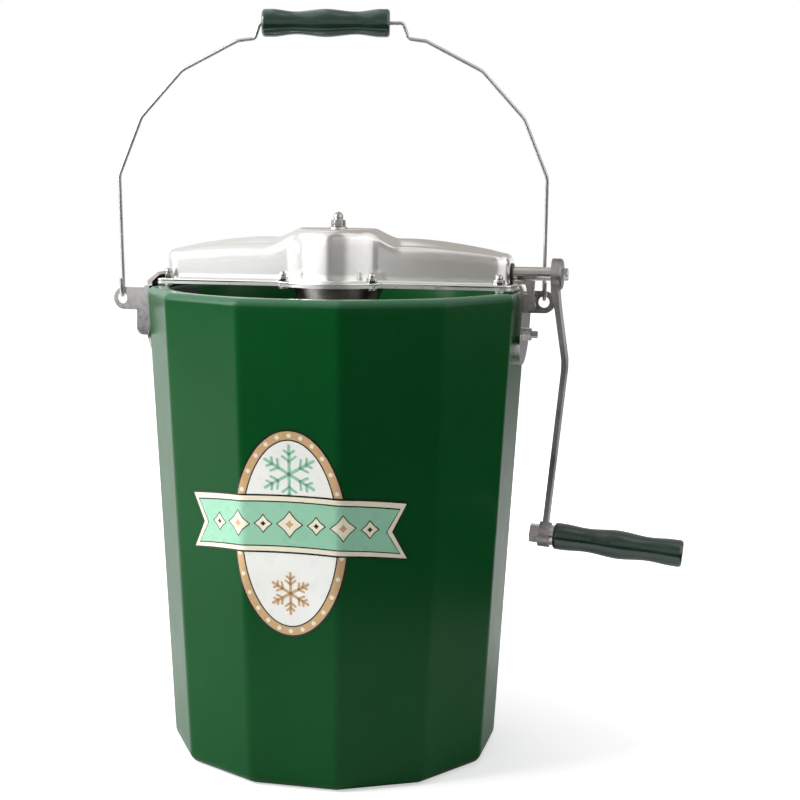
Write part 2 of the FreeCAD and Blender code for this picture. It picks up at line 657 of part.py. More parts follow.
def make_gear_cover():
    body = new_body("gear_cover")
    make_flange(body, PAN_TOP, S.cover_flange)
    for word, side in (("left_arm", -1), ("right_arm", 1)):
        arm_loft(body, "AdditiveLoft", word, side, Size(0, "0"), COVER_BASE - 0.5)
    round_edges(body, "arm_ends", S.arm_round,
                lambda edge: near(abs(middle(edge).x), ARM_END) and middle(edge).z > float(COVER_BASE) + 1)
    fold = RIM + S.tower_fold
    spin(body, "Revolution", "tower", [
        (0, PAN_TOP), (S.tower_radius, PAN_TOP), (S.tower_radius, fold), (S.tower_top_radius, TOWER_TOP),
        (0, TOWER_TOP)])
    thin = S.sheet
    for word, side in (("left_hollow", -1), ("right_hollow", 1)):
        arm_loft(body, "SubtractiveLoft", word, side, thin, PAN_TOP - 1.0)
    spin(body, "Groove", "tower_hollow", [
        (0, PAN_TOP - 1.0), (S.tower_radius - thin, PAN_TOP - 1.0), (S.tower_radius - thin, fold - thin * 0.5),
        (S.tower_top_radius - thin * 0.8, TOWER_TOP - thin), (0, TOWER_TOP - thin)])
    holes = circle_sketch(body, "screw_holes", "XY_Plane",
                          [(spot, S.screw_radius + S.hole_gap) for spot in screw_spots()]
                          + [((0, 0), S.post_radius + S.hole_gap)], TOWER_TOP)
    cut_deep(body, "screw_bores", holes, S.tower_top)
    shaft_hole = circle_sketch(body, "shaft_hole", "YZ_Plane", [((0, SHAFT), S.bush_radius)],
                               ARM_END - S.bush_length * 2)
    cut_deep(body, "shaft_bore", shaft_hole, S.bush_length * 3, reverse=True)
    return body


def make_gear_pan():
    body = new_body("gear_pan")
    base = RIM + S.frame_lift
    make_flange(body, base, S.pan_thick)
    for word, side in (("left_foot", -1), ("right_foot", 1)):
        ends = [side * FRAME_HALF, side * (FRAME_HALF - S.foot_width)]
        low, high = (ends[0], ends[1]) if side < 0 else (ends[1], ends[0])
        half = S.frame_side - S.frame_corner
        foot = polygon_sketch(body, word, "XY_Plane",
                              [(low, -half), (high, -half), (high, half), (low, half)], RIM)
        pad(body, word + "_pad", foot, S.frame_lift + 0.5)
    thin = S.sheet
    spin(body, "Revolution", "dish", [
        (0, DISH_FLOOR), (S.dish_floor_radius, DISH_FLOOR), (S.dish_radius, base), (S.dish_radius, PAN_TOP),
        (0, PAN_TOP)])
    spin(body, "Groove", "dish_hollow", [
        (0, DISH_FLOOR + thin), (S.dish_floor_radius - thin, DISH_FLOOR + thin),
        (S.dish_radius - thin, base), (S.dish_radius - thin, PAN_TOP + 1.0), (0, PAN_TOP + 1.0)])
    holes = circle_sketch(body, "holes", "XY_Plane",
                          [(spot, S.screw_radius + S.hole_gap) for spot in screw_spots()]
                          + [((0, 0), S.gear_bush)], PAN_TOP)
    cut_deep(body, "bores", holes, FRAME_HALF)
    return body


def make_flange_screws():
    """Screws up through both flanges, their flat heads under the pan."""
    base = float(RIM + S.frame_lift)
    tip = float(S.pan_thick + S.cover_flange + S.cap_hex * 0.9)
    shank = Part.makeCylinder(S.screw_radius.value, tip, Vector(0, 0, base))
    head = Part.makeCylinder(S.screw_head.value, S.screw_head_thick.value,
                             Vector(0, 0, base - S.screw_head_thick.value))
    screw = shank.fuse(head).removeSplitter()
    return shape_piece("flange_screws", Part.makeCompound([spread(screw, spot) for spot in screw_spots()]))


def spread(shape, spot):
    copy = shape.copy()
    copy.translate(Vector(float(spot[0]), float(spot[1]), 0))
    return copy


def make_flange_cap_nuts():
    nut = cap_nut(S.cap_flats.value, S.cap_hex.value, S.cap_height.value, S.screw_radius.value)
    nut.translate(Vector(0, 0, float(COVER_BASE)))
    return shape_piece("flange_cap_nuts", Part.makeCompound([spread(nut, spot) for spot in screw_spots()]))


# Centre post, which carries the gear and holds the dasher still.

def make_centre_post():
    body = new_body("centre_post")
    top = TOWER_TOP + S.washer_thick + S.post_cap_height * 0.5
    ceiling = TOWER_TOP - S.sheet
    tip = SOCKET_TOP
    spin(body, "Revolution", "turning", [
        (0, tip), (S.post_radius, tip), (S.post_radius, ceiling - S.post_shoulder),
        (S.post_shoulder, ceiling - S.post_shoulder), (S.post_shoulder, ceiling), (S.post_radius, ceiling),
        (S.post_radius, top), (0, top)])
    half = S.post_square / 2
    square = polygon_sketch(body, "square", "XY_Plane",
                            [(-half, -half), (half, -half), (half, half), (-half, half)],
                            tip - S.socket_depth + S.socket_gap)
    pad(body, "square_pad", square, S.socket_depth + S.socket_gap)
    return body


def make_post_washer():
    outer = primitive("Cylinder", "post_washer_disc", (0, 0, TOWER_TOP), Radius=S.post_cap_flats * 0.62,
                      Height=S.washer_thick)
    inner = primitive("Cylinder", "post_washer_hole", (0, 0, TOWER_TOP), Radius=S.post_radius,
                      Height=S.washer_thick)
    return cut_from("post_washer", outer, inner)


def make_post_cap_nut():
    nut = cap_nut(S.post_cap_flats.value, S.post_cap_hex.value, S.post_cap_height.value, S.post_radius.value)
    seat = Vector(0, 0, float(TOWER_TOP + S.washer_thick))
    return shape_piece("post_cap_nut", nut, Placement(seat, Rotation()))


# Crank shaft and its bearings, along X.

PINION_BACK = S.block_start - S.seat_gap * 2
PINION_PIN = PINION_BACK - S.pin_radius * 1.6


def lay_along_x(item):
    place(item, (0, 0, SHAFT), (0, 1, 0), 90.0)
    return item


def make_shaft_bush():
    out = ARM_END + S.bush_flange_thick
    bore = S.shaft_radius + S.fit
    return lay_along_x(turned_body("shaft_bush", [
        (bore, out - S.bush_length), (S.bush_radius, out - S.bush_length), (S.bush_radius, ARM_END),
        (S.bush_flange, ARM_END), (S.bush_flange, out), (bore, out)]))


def make_bearing_block():
    block = primitive("Box", "bearing_block_solid", (S.block_start, -S.block_half, PAN_TOP),
                      Length=S.block_length, Width=S.block_half * 2, Height=SHAFT + S.block_rise - PAN_TOP)
    bore = primitive("Cylinder", "bearing_block_bore", (S.block_start - 1.0, 0, SHAFT), (0, 1, 0), 90.0,
                     Radius=S.shaft_radius + S.fit, Height=S.block_length + 2.0)
    return cut_from("bearing_block", block, bore)


def make_crank_shaft():
    end = HUB_OUT
    step = S.block_start - S.side_gap
    body = turned_body("crank_shaft", [
        (0, S.shaft_start), (S.shaft_end_radius, S.shaft_start), (S.shaft_end_radius, step),
        (S.shaft_radius, step), (S.shaft_radius, ARM_INNER), (S.shaft_end_radius, ARM_INNER),
        (S.shaft_end_radius, end), (0, end)])
    bore = circle_sketch(body, "pin_bore", "YZ_Plane", [((0, PINION_PIN), S.pin_radius)])
    cut_through(body, "pin_cut", bore)
    return lay_along_x(body)


def make_shaft_collar():
    start = S.block_start + S.block_length + S.side_gap
    return lay_along_x(turned_body("shaft_collar", [
        (S.shaft_radius, start), (S.collar_radius, start), (S.collar_radius, start + S.collar_length),
        (S.shaft_radius, start + S.collar_length)]))


# Bevel gears. Their cones meet where the shaft's line crosses the post's line.

def cone_angle(teeth, mate):
    return math.atan2(teeth, mate)


def bevel_tooth(teeth, mate):
    """A straight bevel tooth about +Z whose faces all run to the common apex at the origin."""
    pitch_radius = S.gear_module.value * teeth / 2
    angle = cone_angle(teeth, mate)
    distance = pitch_radius / math.sin(angle)
    slope = math.tan(math.radians(20))
    rings = []
    for scale in (1.0, 1.0 - S.face_width.value / distance):
        corners = []
        for depth, side in ((-S.dedendum.value - 0.4, -1), (-S.dedendum.value - 0.4, 1),
                            (S.addendum.value, 1), (S.addendum.value, -1)):
            half = S.tooth_half.value - depth * slope
            radius = distance * math.sin(angle) + depth * math.cos(angle)
            height = distance * math.cos(angle) - depth * math.sin(angle)
            corners.append(Vector(radius, side * half, height) * scale)
        rings.append(Part.makePolygon(corners + corners[:1]))
    return Part.makeLoft(rings, True, True)


def bevel_blank(teeth, mate, back, bore):
    """The cone under the teeth, from the inner end of the face to a flat back."""
    pitch_radius = S.gear_module.value * teeth / 2
    angle = cone_angle(teeth, mate)
    distance = pitch_radius / math.sin(angle)
    depth = -S.dedendum.value
    root_radius = distance * math.sin(angle) + depth * math.cos(angle)
    root_height = distance * math.cos(angle) - depth * math.sin(angle)
    scale = 1.0 - S.face_width.value / distance
    corners = [Vector(bore, 0, root_height * scale), Vector(root_radius * scale, 0, root_height * scale),
               Vector(root_radius, 0, root_height), Vector(root_radius, 0, back), Vector(bore, 0, back)]
    profile = Part.Face(Part.makePolygon(corners + corners[:1]))
    return profile.revolve(Vector(0, 0, 0), Vector(0, 0, 1), 360)


def make_pinion():
    """Turns with the shaft: a small bevel gear with a hub behind it for the cross pin."""
    bore = S.shaft_end_radius.value
    back = float(PINION_BACK)
    blank = bevel_blank(PINION_TEETH, GEAR_TEETH, back, bore)
    gear = blank.fuse(turned_copies(bevel_tooth(PINION_TEETH, GEAR_TEETH), PINION_TEETH)).removeSplitter()
    reach = S.gear_module.value * PINION_TEETH
    pin_hole = Part.makeCylinder(S.pin_radius.value, reach * 2, Vector(-reach, 0, float(PINION_PIN)),
                                 Vector(1, 0, 0))
    gear = gear.cut(pin_hole)
    return shape_piece("pinion", gear, Placement(Vector(0, 0, float(SHAFT)), Rotation(Vector(0, 1, 0), 90)))


def make_pinion_pin():
    root = S.gear_module * PINION_TEETH / 2 - S.dedendum
    return primitive("Cylinder", "pinion_pin", (PINION_PIN, 0, SHAFT - root),
                     Radius=S.pin_radius, Height=root * 2)


def make_ring_gear():
    """Turns on the post: a bevel ring above, a neck through the pan, a slot for the can's lugs."""
    apex = SHAFT.value
    pitch_height = S.gear_module.value * PINION_TEETH / 2
    back = pitch_height + S.dedendum.value + S.gear_web.value
    bore = S.post_radius.value + S.fit.value
    blank = bevel_blank(GEAR_TEETH, PINION_TEETH, back, bore)
    teeth = turned_copies(bevel_tooth(GEAR_TEETH, PINION_TEETH), GEAR_TEETH)
    half_step = 180.0 / GEAR_TEETH
    for tooth in teeth:
        tooth.rotate(Vector(0, 0, 0), Vector(0, 0, 1), half_step)
    seat = apex - float(DISH_FLOOR + S.sheet + S.thrust_thick)
    foot = apex - float(RIM - S.neck_drop)
    hub = Part.makeCylinder(S.gear_hub.value, seat - back + 1.0, Vector(0, 0, back - 1.0))
    neck = Part.makeCylinder(S.gear_neck.value, foot - seat + 1.0, Vector(0, 0, seat - 1.0))
    gear = blank.fuse([hub, neck] + teeth).removeSplitter()
    gear = gear.cut(Part.makeCylinder(bore, foot))
    gear = gear.cut(Part.makeCylinder(S.gear_socket.value, foot, Vector(0, 0, seat - 1.0)))
    width = S.slot_half.value * 2
    slot = Part.makeBox(S.gear_hub.value * 2, width, S.slot_depth.value + 1.0,
                        Vector(-S.gear_hub.value, -width / 2, foot - S.slot_depth.value))
    gear = gear.cut(slot)
    return shape_piece("ring_gear", gear, Placement(Vector(0, 0, apex), Rotation(Vector(1, 0, 0), 180)))


def make_gear_bush():
    low = DISH_FLOOR - S.thrust_thick
    bore = S.gear_neck + S.fit
    return turned_body("gear_bush", [
        (bore, low), (S.gear_bush_flange, low), (S.gear_bush_flange, DISH_FLOOR), (S.gear_bush, DISH_FLOOR),
        (S.gear_bush, DISH_FLOOR + S.sheet), (bore, DISH_FLOOR + S.sheet)])


def make_thrust_washer():
    low = DISH_FLOOR + S.sheet
    return turned_body("thrust_washer", [
        (S.gear_neck + S.hole_gap, low), (S.gear_bush_flange, low),
        (S.gear_bush_flange, low + S.thrust_thick), (S.gear_neck + S.hole_gap, low + S.thrust_thick)])


# Crank arm and its grip.

def make_crank_arm():
    body = new_body("crank_arm")
    bow = RIM - S.crank_bow_drop
    foot = RIM - S.boss_drop
    neck = RIM - S.crank_neck_drop
    thick = S.crank_thick
    width = S.crank_width
    hub = circle_sketch(body, "hub", "YZ_Plane", [((0, SHAFT), S.hub_radius)], ARM_INNER)
    pad(body, "hub_pad", hub, S.hub_length)
    round_edges(body, "hub_edge", S.hub_round, lambda edge: near(middle(edge).x, HUB_OUT))
    strap_out = HUB_OUT - S.hub_round
    bow_reach = ARM_INNER + S.crank_bow_out
    foot_reach = ARM_INNER - S.crank_foot_in
    neck_reach = ARM_INNER + S.crank_neck_out
    high = bow + S.bow_half
    low = bow - S.bow_half
    strap = polygon_sketch(body, "strap", "XZ_Plane", [
        (strap_out, SHAFT), (strap_out, RIM), (neck_reach + thick, neck + S.bow_half / 2),
        (bow_reach + thick, high), (bow_reach + thick, low), (foot_reach + thick, foot),
        (foot_reach, foot), (bow_reach, low), (bow_reach, high), (neck_reach, neck), (ARM_INNER, RIM),
        (ARM_INNER, SHAFT)], width / 2)
    pad(body, "strap_pad", strap, width, reverse=True)
    bore = circle_sketch(body, "bore", "YZ_Plane", [((0, SHAFT), S.shaft_end_radius)], ARM_INNER - 1.0)
    cut_deep(body, "bore_cut", bore, S.hub_length + 2.0, reverse=True)
    tilt = math.radians(S.grip_tilt.value)
    boss = new_sketch(body, "boss", "YZ_Plane")
    draw_circle(boss, (0, 0), S.boss_radius)
    boss_turn = Rotation(Vector(0, 1, 0), S.grip_tilt.value)
    start = Vector(BOSS_REACH.value - S.boss_length.value / 2 * math.cos(tilt), 0,
                   foot.value + S.boss_length.value / 2 * math.sin(tilt))
    boss.MapMode = "Deactivated"
    boss.Placement = Placement(start, boss_turn.multiply(Rotation(Vector(1, 1, 1), 120)))
    pad(body, "boss_pad", boss, S.boss_length)
    bolt_hole = new_sketch(body, "bolt_hole", "YZ_Plane")
    draw_circle(bolt_hole, (0, 0), S.grip_bolt_radius)
    bolt_hole.MapMode = "Deactivated"
    bolt_hole.Placement = boss.Placement
    cut_deep(body, "bolt_bore", bolt_hole, S.boss_length * 1.5, reverse=True)
    return body


def make_arm_screw():
    """The screw that holds the arm on the shaft's end."""
    head = hexagon(S.crank_screw_flats.value, S.crank_screw_thick.value)
    head = head.common(Part.makeCone(S.crank_screw_flats.value * 0.62, S.crank_screw_flats.value * 0.5,
                                     S.crank_screw_thick.value))
    spot = Vector(float(HUB_OUT), 0, float(SHAFT))
    return shape_piece("arm_screw", head, Placement(spot, Rotation(Vector(0, 1, 0), 90)))


def grip_line(distance):
    """A placement on the crank grip's axis, a distance out from the middle of the arm's boss."""
    tilt = math.radians(S.grip_tilt.value)
    spot = Vector(BOSS_REACH.value + distance * math.cos(tilt), 0,
                  float(RIM - S.boss_drop) - distance * math.sin(tilt))
    return Placement(spot, Rotation(Vector(0, 1, 0), 90.0 + S.grip_tilt.value))


def make_grip_nut():
    start = -(S.boss_length.value / 2 + S.grip_nut_thick.value)
    nut = hexagon(S.grip_nut_flats.value, S.grip_nut_thick.value, S.grip_bolt_radius.value)
    return shape_piece("grip_nut", nut, grip_line(start))


def make_grip_washer():
    washer = Part.makeCylinder(S.grip_washer_radius.value, S.grip_washer_thick.value)
    washer = washer.cut(Part.makeCylinder(S.grip_bolt_radius.value, S.grip_washer_thick.value))
    return shape_piece("grip_washer", washer, grip_line(S.boss_length.value / 2))


def grip_start():
    return S.boss_length.value / 2 + S.grip_washer_thick.value + S.side_gap.value


def make_grip_bolt():
    start = -(S.boss_length.value / 2 + S.grip_nut_thick.value * 0.9)
    end = grip_start() + S.crank_grip_length.value - 1.0
    shank = Part.makeCylinder(S.grip_bolt_radius.value, end - start)
    head = Part.makeCylinder(S.grip_bolt_head.value, S.grip_bolt_head_thick.value,
                             Vector(0, 0, end - start - S.grip_bolt_head_thick.value))
    return shape_piece("grip_bolt", shank.fuse(head).removeSplitter(), grip_line(start))


def turned_grip(name, length, end, waist, centre, bore, seat=0.0, seat_depth=0.0):
    """A turned grip along +Z: full at its ends and middle, waisted between them."""
    curve = Part.BSplineCurve()
    curve.interpolate([Vector(radius, 0, length * share) for share, radius in (
        (0.0, end), (0.08, end), (0.25, waist), (0.5, centre), (0.75, waist), (0.92, end), (1.0, end))])
    corners = [Vector(end, 0, length), Vector(bore, 0, length), Vector(bore, 0, 0), Vector(end, 0, 0)]
    outline = Part.Wire([curve.toShape()] + Part.makePolygon(corners).Edges)
    grip = Part.Face(outline).revolve(Vector(0, 0, 0), Vector(0, 0, 1), 360)
    rims = [edge for edge in grip.Edges if isinstance(edge.Curve, Part.Circle)
            and abs(edge.Curve.Radius - end) < 0.01]
    grip = grip.makeFillet(S.grip_round.value, rims)
    if seat > 0:
        grip = grip.cut(Part.makeCylinder(seat, seat_depth, Vector(0, 0, length - seat_depth)))
    return shape_piece(name, grip)


def make_crank_grip():
    grip = turned_grip("crank_grip", S.crank_grip_length.value, S.crank_grip_end.value,
                       S.crank_grip_waist.value, S.crank_grip_middle.value,
                       float(S.grip_bolt_radius + S.fit), float(S.grip_bolt_head + S.side_gap),
                       float(S.grip_bolt_head_thick + S.side_gap) + 1.0)
    grip.Placement = grip_line(grip_start())
    return grip


# Bail: a wire arch hooked through the two ears, with a turned grip on top.

def bail_frame():
    """Where the hinge line's middle lies, and the bail's turn from X and Z at rest."""
    left = Vector(-LEFT_EAR.value, -S.ear_side.value, 0)
    right = Vector(RIGHT_EAR.value, S.ear_side.value, 0)
    line = right - left
    rise = float(RIM - S.ear_top - S.ear_bar / 2)
    yaw = math.degrees(math.atan2(line.y, line.x))
    centre = (left + right) * 0.5 + Vector(0, 0, rise)
    turn = Rotation(Vector(0, 0, 1), yaw).multiply(Rotation(Vector(1, 0, 0), S.bail_lean.value))
    return line.Length / 2, Placement(centre, turn)


def bend_edges(points, radii):
    """Straight runs through points, rounded at each inner point to its radius."""
    edges = []
    last = points[0]
    for before, corner, after, radius in zip(points, points[1:], points[2:], radii):
        inward = (before - corner).normalize()
        onward = (after - corner).normalize()
        half = inward.getAngle(onward) / 2
        setback = radius / math.tan(half)
        to_centre = (inward + onward).normalize()
        through = corner + to_centre * (radius / math.sin(half) - radius)
        start = corner + inward * setback
        end = corner + onward * setback
        edges.append(Part.LineSegment(last, start).toShape())
        edges.append(Part.Arc(start, through, end).toShape())
        last = end
    edges.append(Part.LineSegment(last, points[-1]).toShape())
    return edges


def make_bail_wire():
    half, frame = bail_frame()
    back = S.hook_radius.value
    hook = [Part.LineSegment(Vector(half, -back, S.hook_free_end.value), Vector(half, -back, 0)).toShape(),
            Part.Arc(Vector(half, -back, 0), Vector(half, 0, -back), Vector(half, back, 0)).toShape()]
    corners = [Vector(getattr(S, name + "_reach").value, back, getattr(S, name + "_height").value)
               for name, reach, height, bend in BAIL_BENDS]
    bends = [getattr(S, name + "_bend").value for name, reach, height, bend in BAIL_BENDS]
    start = Vector(half, back, 0)
    crest = Vector(0, back, corners[-1].z)
    side = hook + bend_edges([start] + corners + [crest], bends)
    mirror = [edge.mirror(Vector(0, 0, 0), Vector(1, 0, 0)) for edge in reversed(side)]
    path = Part.Wire(side + mirror)
    ring = Part.Wire(Part.Circle(Vector(half, -back, S.hook_free_end.value), Vector(0, 0, 1),
                                 S.wire_radius.value).toShape())
    return shape_piece("bail_wire", path.makePipeShell([ring], True, False), frame)


def make_bail_grip():
    grip = turned_grip("bail_grip", S.bail_grip_length.value, S.bail_grip_end.value,
                       S.bail_grip_waist.value, S.bail_grip_end.value, float(S.wire_radius + S.fit))
    half, frame = bail_frame()
    start = Vector(float(S.bail_grip_shift - S.bail_grip_length / 2), S.hook_radius.value,
                   S.bail_neck_height.value)
    grip.Placement = frame.multiply(Placement(start, Rotation(Vector(0, 1, 0), 90)))
    return grip


# Can, its lid and the dasher inside it.

def make_can_body():
    out = S.can_radius
    inside = out - S.can_wall
    low = CAN_BASE
    floor = CAN_FLOOR
    pin = S.pivot_radius
    tip = S.tub_floor + S.pivot_seat
    cup = S.stem_radius + S.socket_wall
    well = S.stem_radius * 0.6 + S.side_gap
    curve = S.can_round
    bead = out + S.can_bead
    return turned_body("can_body", [
        (0, tip), (pin * 0.6, tip), (pin, tip + S.pivot_tip), (pin, low), (out - curve, low),
        (out, low + curve), (out, CAN_TOP - curve), (bead, CAN_TOP - curve + S.can_wall), (bead, CAN_TOP),
        (inside, CAN_TOP), (inside, floor + curve), (inside - curve, floor), (cup, floor),
        (cup, floor + S.socket_rise), (well, floor + S.socket_rise), (well, floor), (0, floor)])


def make_can_lid():
    body = new_body("can_lid")
    inside = S.can_radius + S.can_bead + S.fit
    outside = inside + S.lid_sheet
    under = LID_TOP - S.lid_sheet
    neck_top = RIM - S.neck_drop - S.neck_gap
    bore = S.stem_radius + S.side_gap * 2
    crown = S.lid_neck + S.lid_step
    ledge = inside - S.lid_ledge
    crease = inside - S.lid_crease
    thin = S.lid_sheet
    spin(body, "Revolution", "turning", [
        (bore, under), (crown, under), (crease, under - S.lid_slope), (ledge, CAN_TOP), (inside, CAN_TOP),
        (inside, CAN_TOP - S.lid_skirt), (outside, CAN_TOP - S.lid_skirt), (outside, CAN_TOP + thin),
        (ledge + thin, CAN_TOP + thin), (crease + thin, LID_TOP - S.lid_slope), (crown, LID_TOP),
        (S.lid_neck, LID_TOP), (S.lid_neck, neck_top), (bore, neck_top)])
    half = S.slot_half - S.lug_gap
    for word, side in (("left_lug", -1), ("right_lug", 1)):
        ends = [side * (bore + S.lug_gap * 2), side * (S.gear_neck - S.lug_gap)]
        low, high = (ends[1], ends[0]) if side < 0 else (ends[0], ends[1])
        lug = polygon_sketch(body, word, "XY_Plane", [(low, -half), (high, -half), (high, half), (low, half)],
                             neck_top - S.lug_gap)
        pad(body, word + "_pad", lug, S.neck_gap + S.slot_depth)
    return body


def make_can_pivot_cup():
    floor = S.tub_floor
    top = floor + S.pivot_cup_height
    bore = S.pivot_radius + S.pivot_gap
    seat = floor + S.pivot_seat - S.seat_gap
    return turned_body("can_pivot_cup", [
        (0, floor), (S.pivot_cup, floor), (S.pivot_cup, floor + S.pivot_tip), (bore + S.socket_wall, top),
        (bore, top), (bore, seat), (0, seat)])


def make_dasher_frame():
    """A fixed stem on the post's square end, with a flat frame that carries the blades."""
    body = new_body("dasher_frame")
    top = SOCKET_TOP - S.socket_gap
    floor = CAN_FLOOR
    foot = floor + S.socket_rise + S.side_gap
    spin(body, "Revolution", "stem", [
        (0, floor + S.side_gap), (S.stem_radius * 0.6, floor + S.side_gap), (S.stem_radius * 0.6, foot),
        (S.stem_radius, foot), (S.stem_radius, top), (0, top)])
    reach = DASHER_REACH
    bar = S.dasher_bar
    frame = new_sketch(body, "frame", "XZ_Plane")
    draw_polygon(frame, [(-reach, DASHER_LOW), (reach, DASHER_LOW), (reach, DASHER_HIGH),
                         (-reach, DASHER_HIGH)])
    for side in (-1, 1):
        inner = sorted([side * S.stem_radius * 0.75, side * (reach - bar)], key=float)
        draw_polygon(frame, [(inner[0], DASHER_LOW + bar), (inner[1], DASHER_LOW + bar),
                             (inner[1], DASHER_HIGH - bar), (inner[0], DASHER_HIGH - bar)])
    pad(body, "frame_pad", frame, S.dasher_thick, both_ways=True)
    half = S.post_square / 2 + S.hole_gap / 2
    socket = polygon_sketch(body, "socket", "XY_Plane",
                            [(-half, -half), (half, -half), (half, half), (-half, half)], top)
    cut_deep(body, "socket_cut", socket, S.socket_depth)
    return body


def make_dasher_scrapers():
    """Two blades that lie close to the can's wall, one on each side of the frame."""
    reach = S.can_radius.value - S.can_wall.value - S.blade_gap.value
    start = DASHER_REACH.value
    low = float(DASHER_LOW + S.blade_inset)
    tall = float(DASHER_HIGH - S.blade_inset) - low
    half = S.blade_thick.value / 2
    edge = reach - S.blade_edge.value
    outline = [Vector(start, -half, low), Vector(reach - S.blade_bevel.value, -half, low),
               Vector(edge, half * 0.6, low), Vector(edge, half, low), Vector(start, half, low)]
    blade = Part.Face(Part.makePolygon(outline + outline[:1])).extrude(Vector(0, 0, tall))
    return shape_piece("dasher_scrapers", Part.makeCompound(turned_copies(blade, 2)))


NODES = [
    make_tub(),
    make_bracket("left_bracket", S.left_strap_half, LEFT_EAR, S.left_ear_tip, True, left_lip(),
                 Size(0, "0"), S.left_lip_half, 180.0),
    make_bracket("right_bracket", S.right_strap_half, RIGHT_EAR, S.right_ear_tip, False, right_tab(),
                 S.tab_side, S.tab_half, 0.0),
    make_backing_plate("left_backing_plate", 180.0),
    make_backing_plate("right_backing_plate", 0.0),
    make_bracket_bolts(),
    make_bracket_nuts(),
    make_latch_base(),
    make_latch_hook(),
    make_latch_pin(),
    make_gear_cover(),
    make_gear_pan(),
    make_flange_screws(),
    make_flange_cap_nuts(),
    make_centre_post(),
    make_post_washer(),
    make_post_cap_nut(),
    make_shaft_bush(),
    make_bearing_block(),
    make_crank_shaft(),
    make_shaft_collar(),
    make_pinion(),
    make_pinion_pin(),
    make_ring_gear(),
    make_gear_bush(),
    make_thrust_washer(),
    make_crank_arm(),
    make_arm_screw(),
    make_grip_bolt(),
    make_grip_nut(),
    make_grip_washer(),
    make_crank_grip(),
    make_bail_wire(),
    make_bail_grip(),
    make_can_body(),
    make_can_lid(),
    make_can_pivot_cup(),
    make_dasher_frame(),
    make_dasher_scrapers(),
]

doc.recompute()
for item in doc.Objects:
    if "Invalid" in item.State or "Error" in item.State:
        raise RuntimeError("%s failed: %s" % (item.Name, item.State))
for node in NODES:
    if node.Shape.isNull() or not node.Shape.isValid():
        raise RuntimeError("%s has no valid shape" % node.Label)

os.makedirs("parts", exist_ok=True)
for node in NODES:
    node.Shape.exportStep("parts/%s.step" % node.Label)
    print("%-22s %3d solids %12.1f mm3" % (node.Label, len(node.Shape.Solids), node.Shape.Volume))
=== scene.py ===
import math

import bmesh
import bpy
import numpy as np
from bpy.props import FloatProperty, FloatVectorProperty, PointerProperty
from mathutils import Matrix, Vector


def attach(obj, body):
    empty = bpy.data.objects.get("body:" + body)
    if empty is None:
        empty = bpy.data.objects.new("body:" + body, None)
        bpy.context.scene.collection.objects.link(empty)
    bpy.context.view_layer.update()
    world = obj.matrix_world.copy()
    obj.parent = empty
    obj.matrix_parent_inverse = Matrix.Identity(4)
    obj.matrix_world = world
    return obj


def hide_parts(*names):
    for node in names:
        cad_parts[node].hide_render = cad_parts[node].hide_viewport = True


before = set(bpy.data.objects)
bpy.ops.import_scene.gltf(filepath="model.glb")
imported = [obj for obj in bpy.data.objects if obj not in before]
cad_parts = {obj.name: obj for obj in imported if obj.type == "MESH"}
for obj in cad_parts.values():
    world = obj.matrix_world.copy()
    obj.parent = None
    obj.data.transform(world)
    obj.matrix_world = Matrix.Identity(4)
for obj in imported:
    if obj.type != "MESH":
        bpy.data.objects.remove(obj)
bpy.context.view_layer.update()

bl_info = {
    "name": "Hand Crank Freezer",
    "version": (1, 0, 0),
    "blender": (4, 5, 0),
    "location": "View3D > Sidebar > Freezer",
    "description": "Builds the dressed pieces, finishes and stage of a hand crank ice cream freezer",
    "category": "Add Mesh",
}


def length(name, about, default, low=0.0):
    """A length in metres that the panel shows."""
    return FloatProperty(name=name, description=about, default=default, min=low, unit="LENGTH")


def colour(name, about, default):
    """A linear colour that the panel shows."""
    return FloatVectorProperty(name=name, description=about, default=default, size=3, min=0.0, max=1.0,
                               subtype="COLOR")


class FREEZER_PG_tub(bpy.types.PropertyGroup):
    """Sizes and colours of the tub and its label."""

    height: length("Height", "Height of the rim over the base", 0.395)
    top_apothem: length("Top apothem", "Axis to the middle of a side at the rim", 0.15648)
    base_apothem: length("Base apothem", "Axis to the middle of a side at the base", 0.13475)
    corner: length("Corner radius", "Rounding between two sides", 0.0135)
    rim_round: length("Rim rounding", "Rounding of the outer rim", 0.0062)
    base_round: length("Base rounding", "Rounding of the outer base edge", 0.0085)
    rim_bore: length("Rim bore", "Radius of the bore at the rim", 0.142)
    floor_bore: length("Floor bore", "Radius of the bore at the floor", 0.121)
    floor: length("Floor", "Height of the inside floor", 0.015)
    floor_round: length("Floor rounding", "Rounding between the bore and the floor", 0.006)
    lip_round: length("Lip rounding", "Rounding of the rim's inner edge", 0.0030)
    # Painted highlight: a paler green on the rounded rim stands in for light from above.
    rim_highlight_green: colour("Rim highlight green", "Colour painted on the rim as a highlight", (0.11, 0.25, 0.16))
    green: colour("Green", "Colour of the moulded tub", (0.0010, 0.068, 0.013))
    label_middle: length("Label middle", "Height of the label's middle", 0.213)
    label_mint: colour("Label mint", "Ground of the label's band", (0.30, 0.60, 0.42))
    label_cream: colour("Label cream", "Border of the label", (0.86, 0.80, 0.62))
    label_white: colour("Label white", "Ground of the label's disc", (0.90, 0.90, 0.86))
    label_tan: colour("Label tan", "Warm part of the label", (0.62, 0.40, 0.20))
    label_ink: colour("Label ink", "Outlines of the label", (0.012, 0.014, 0.012))


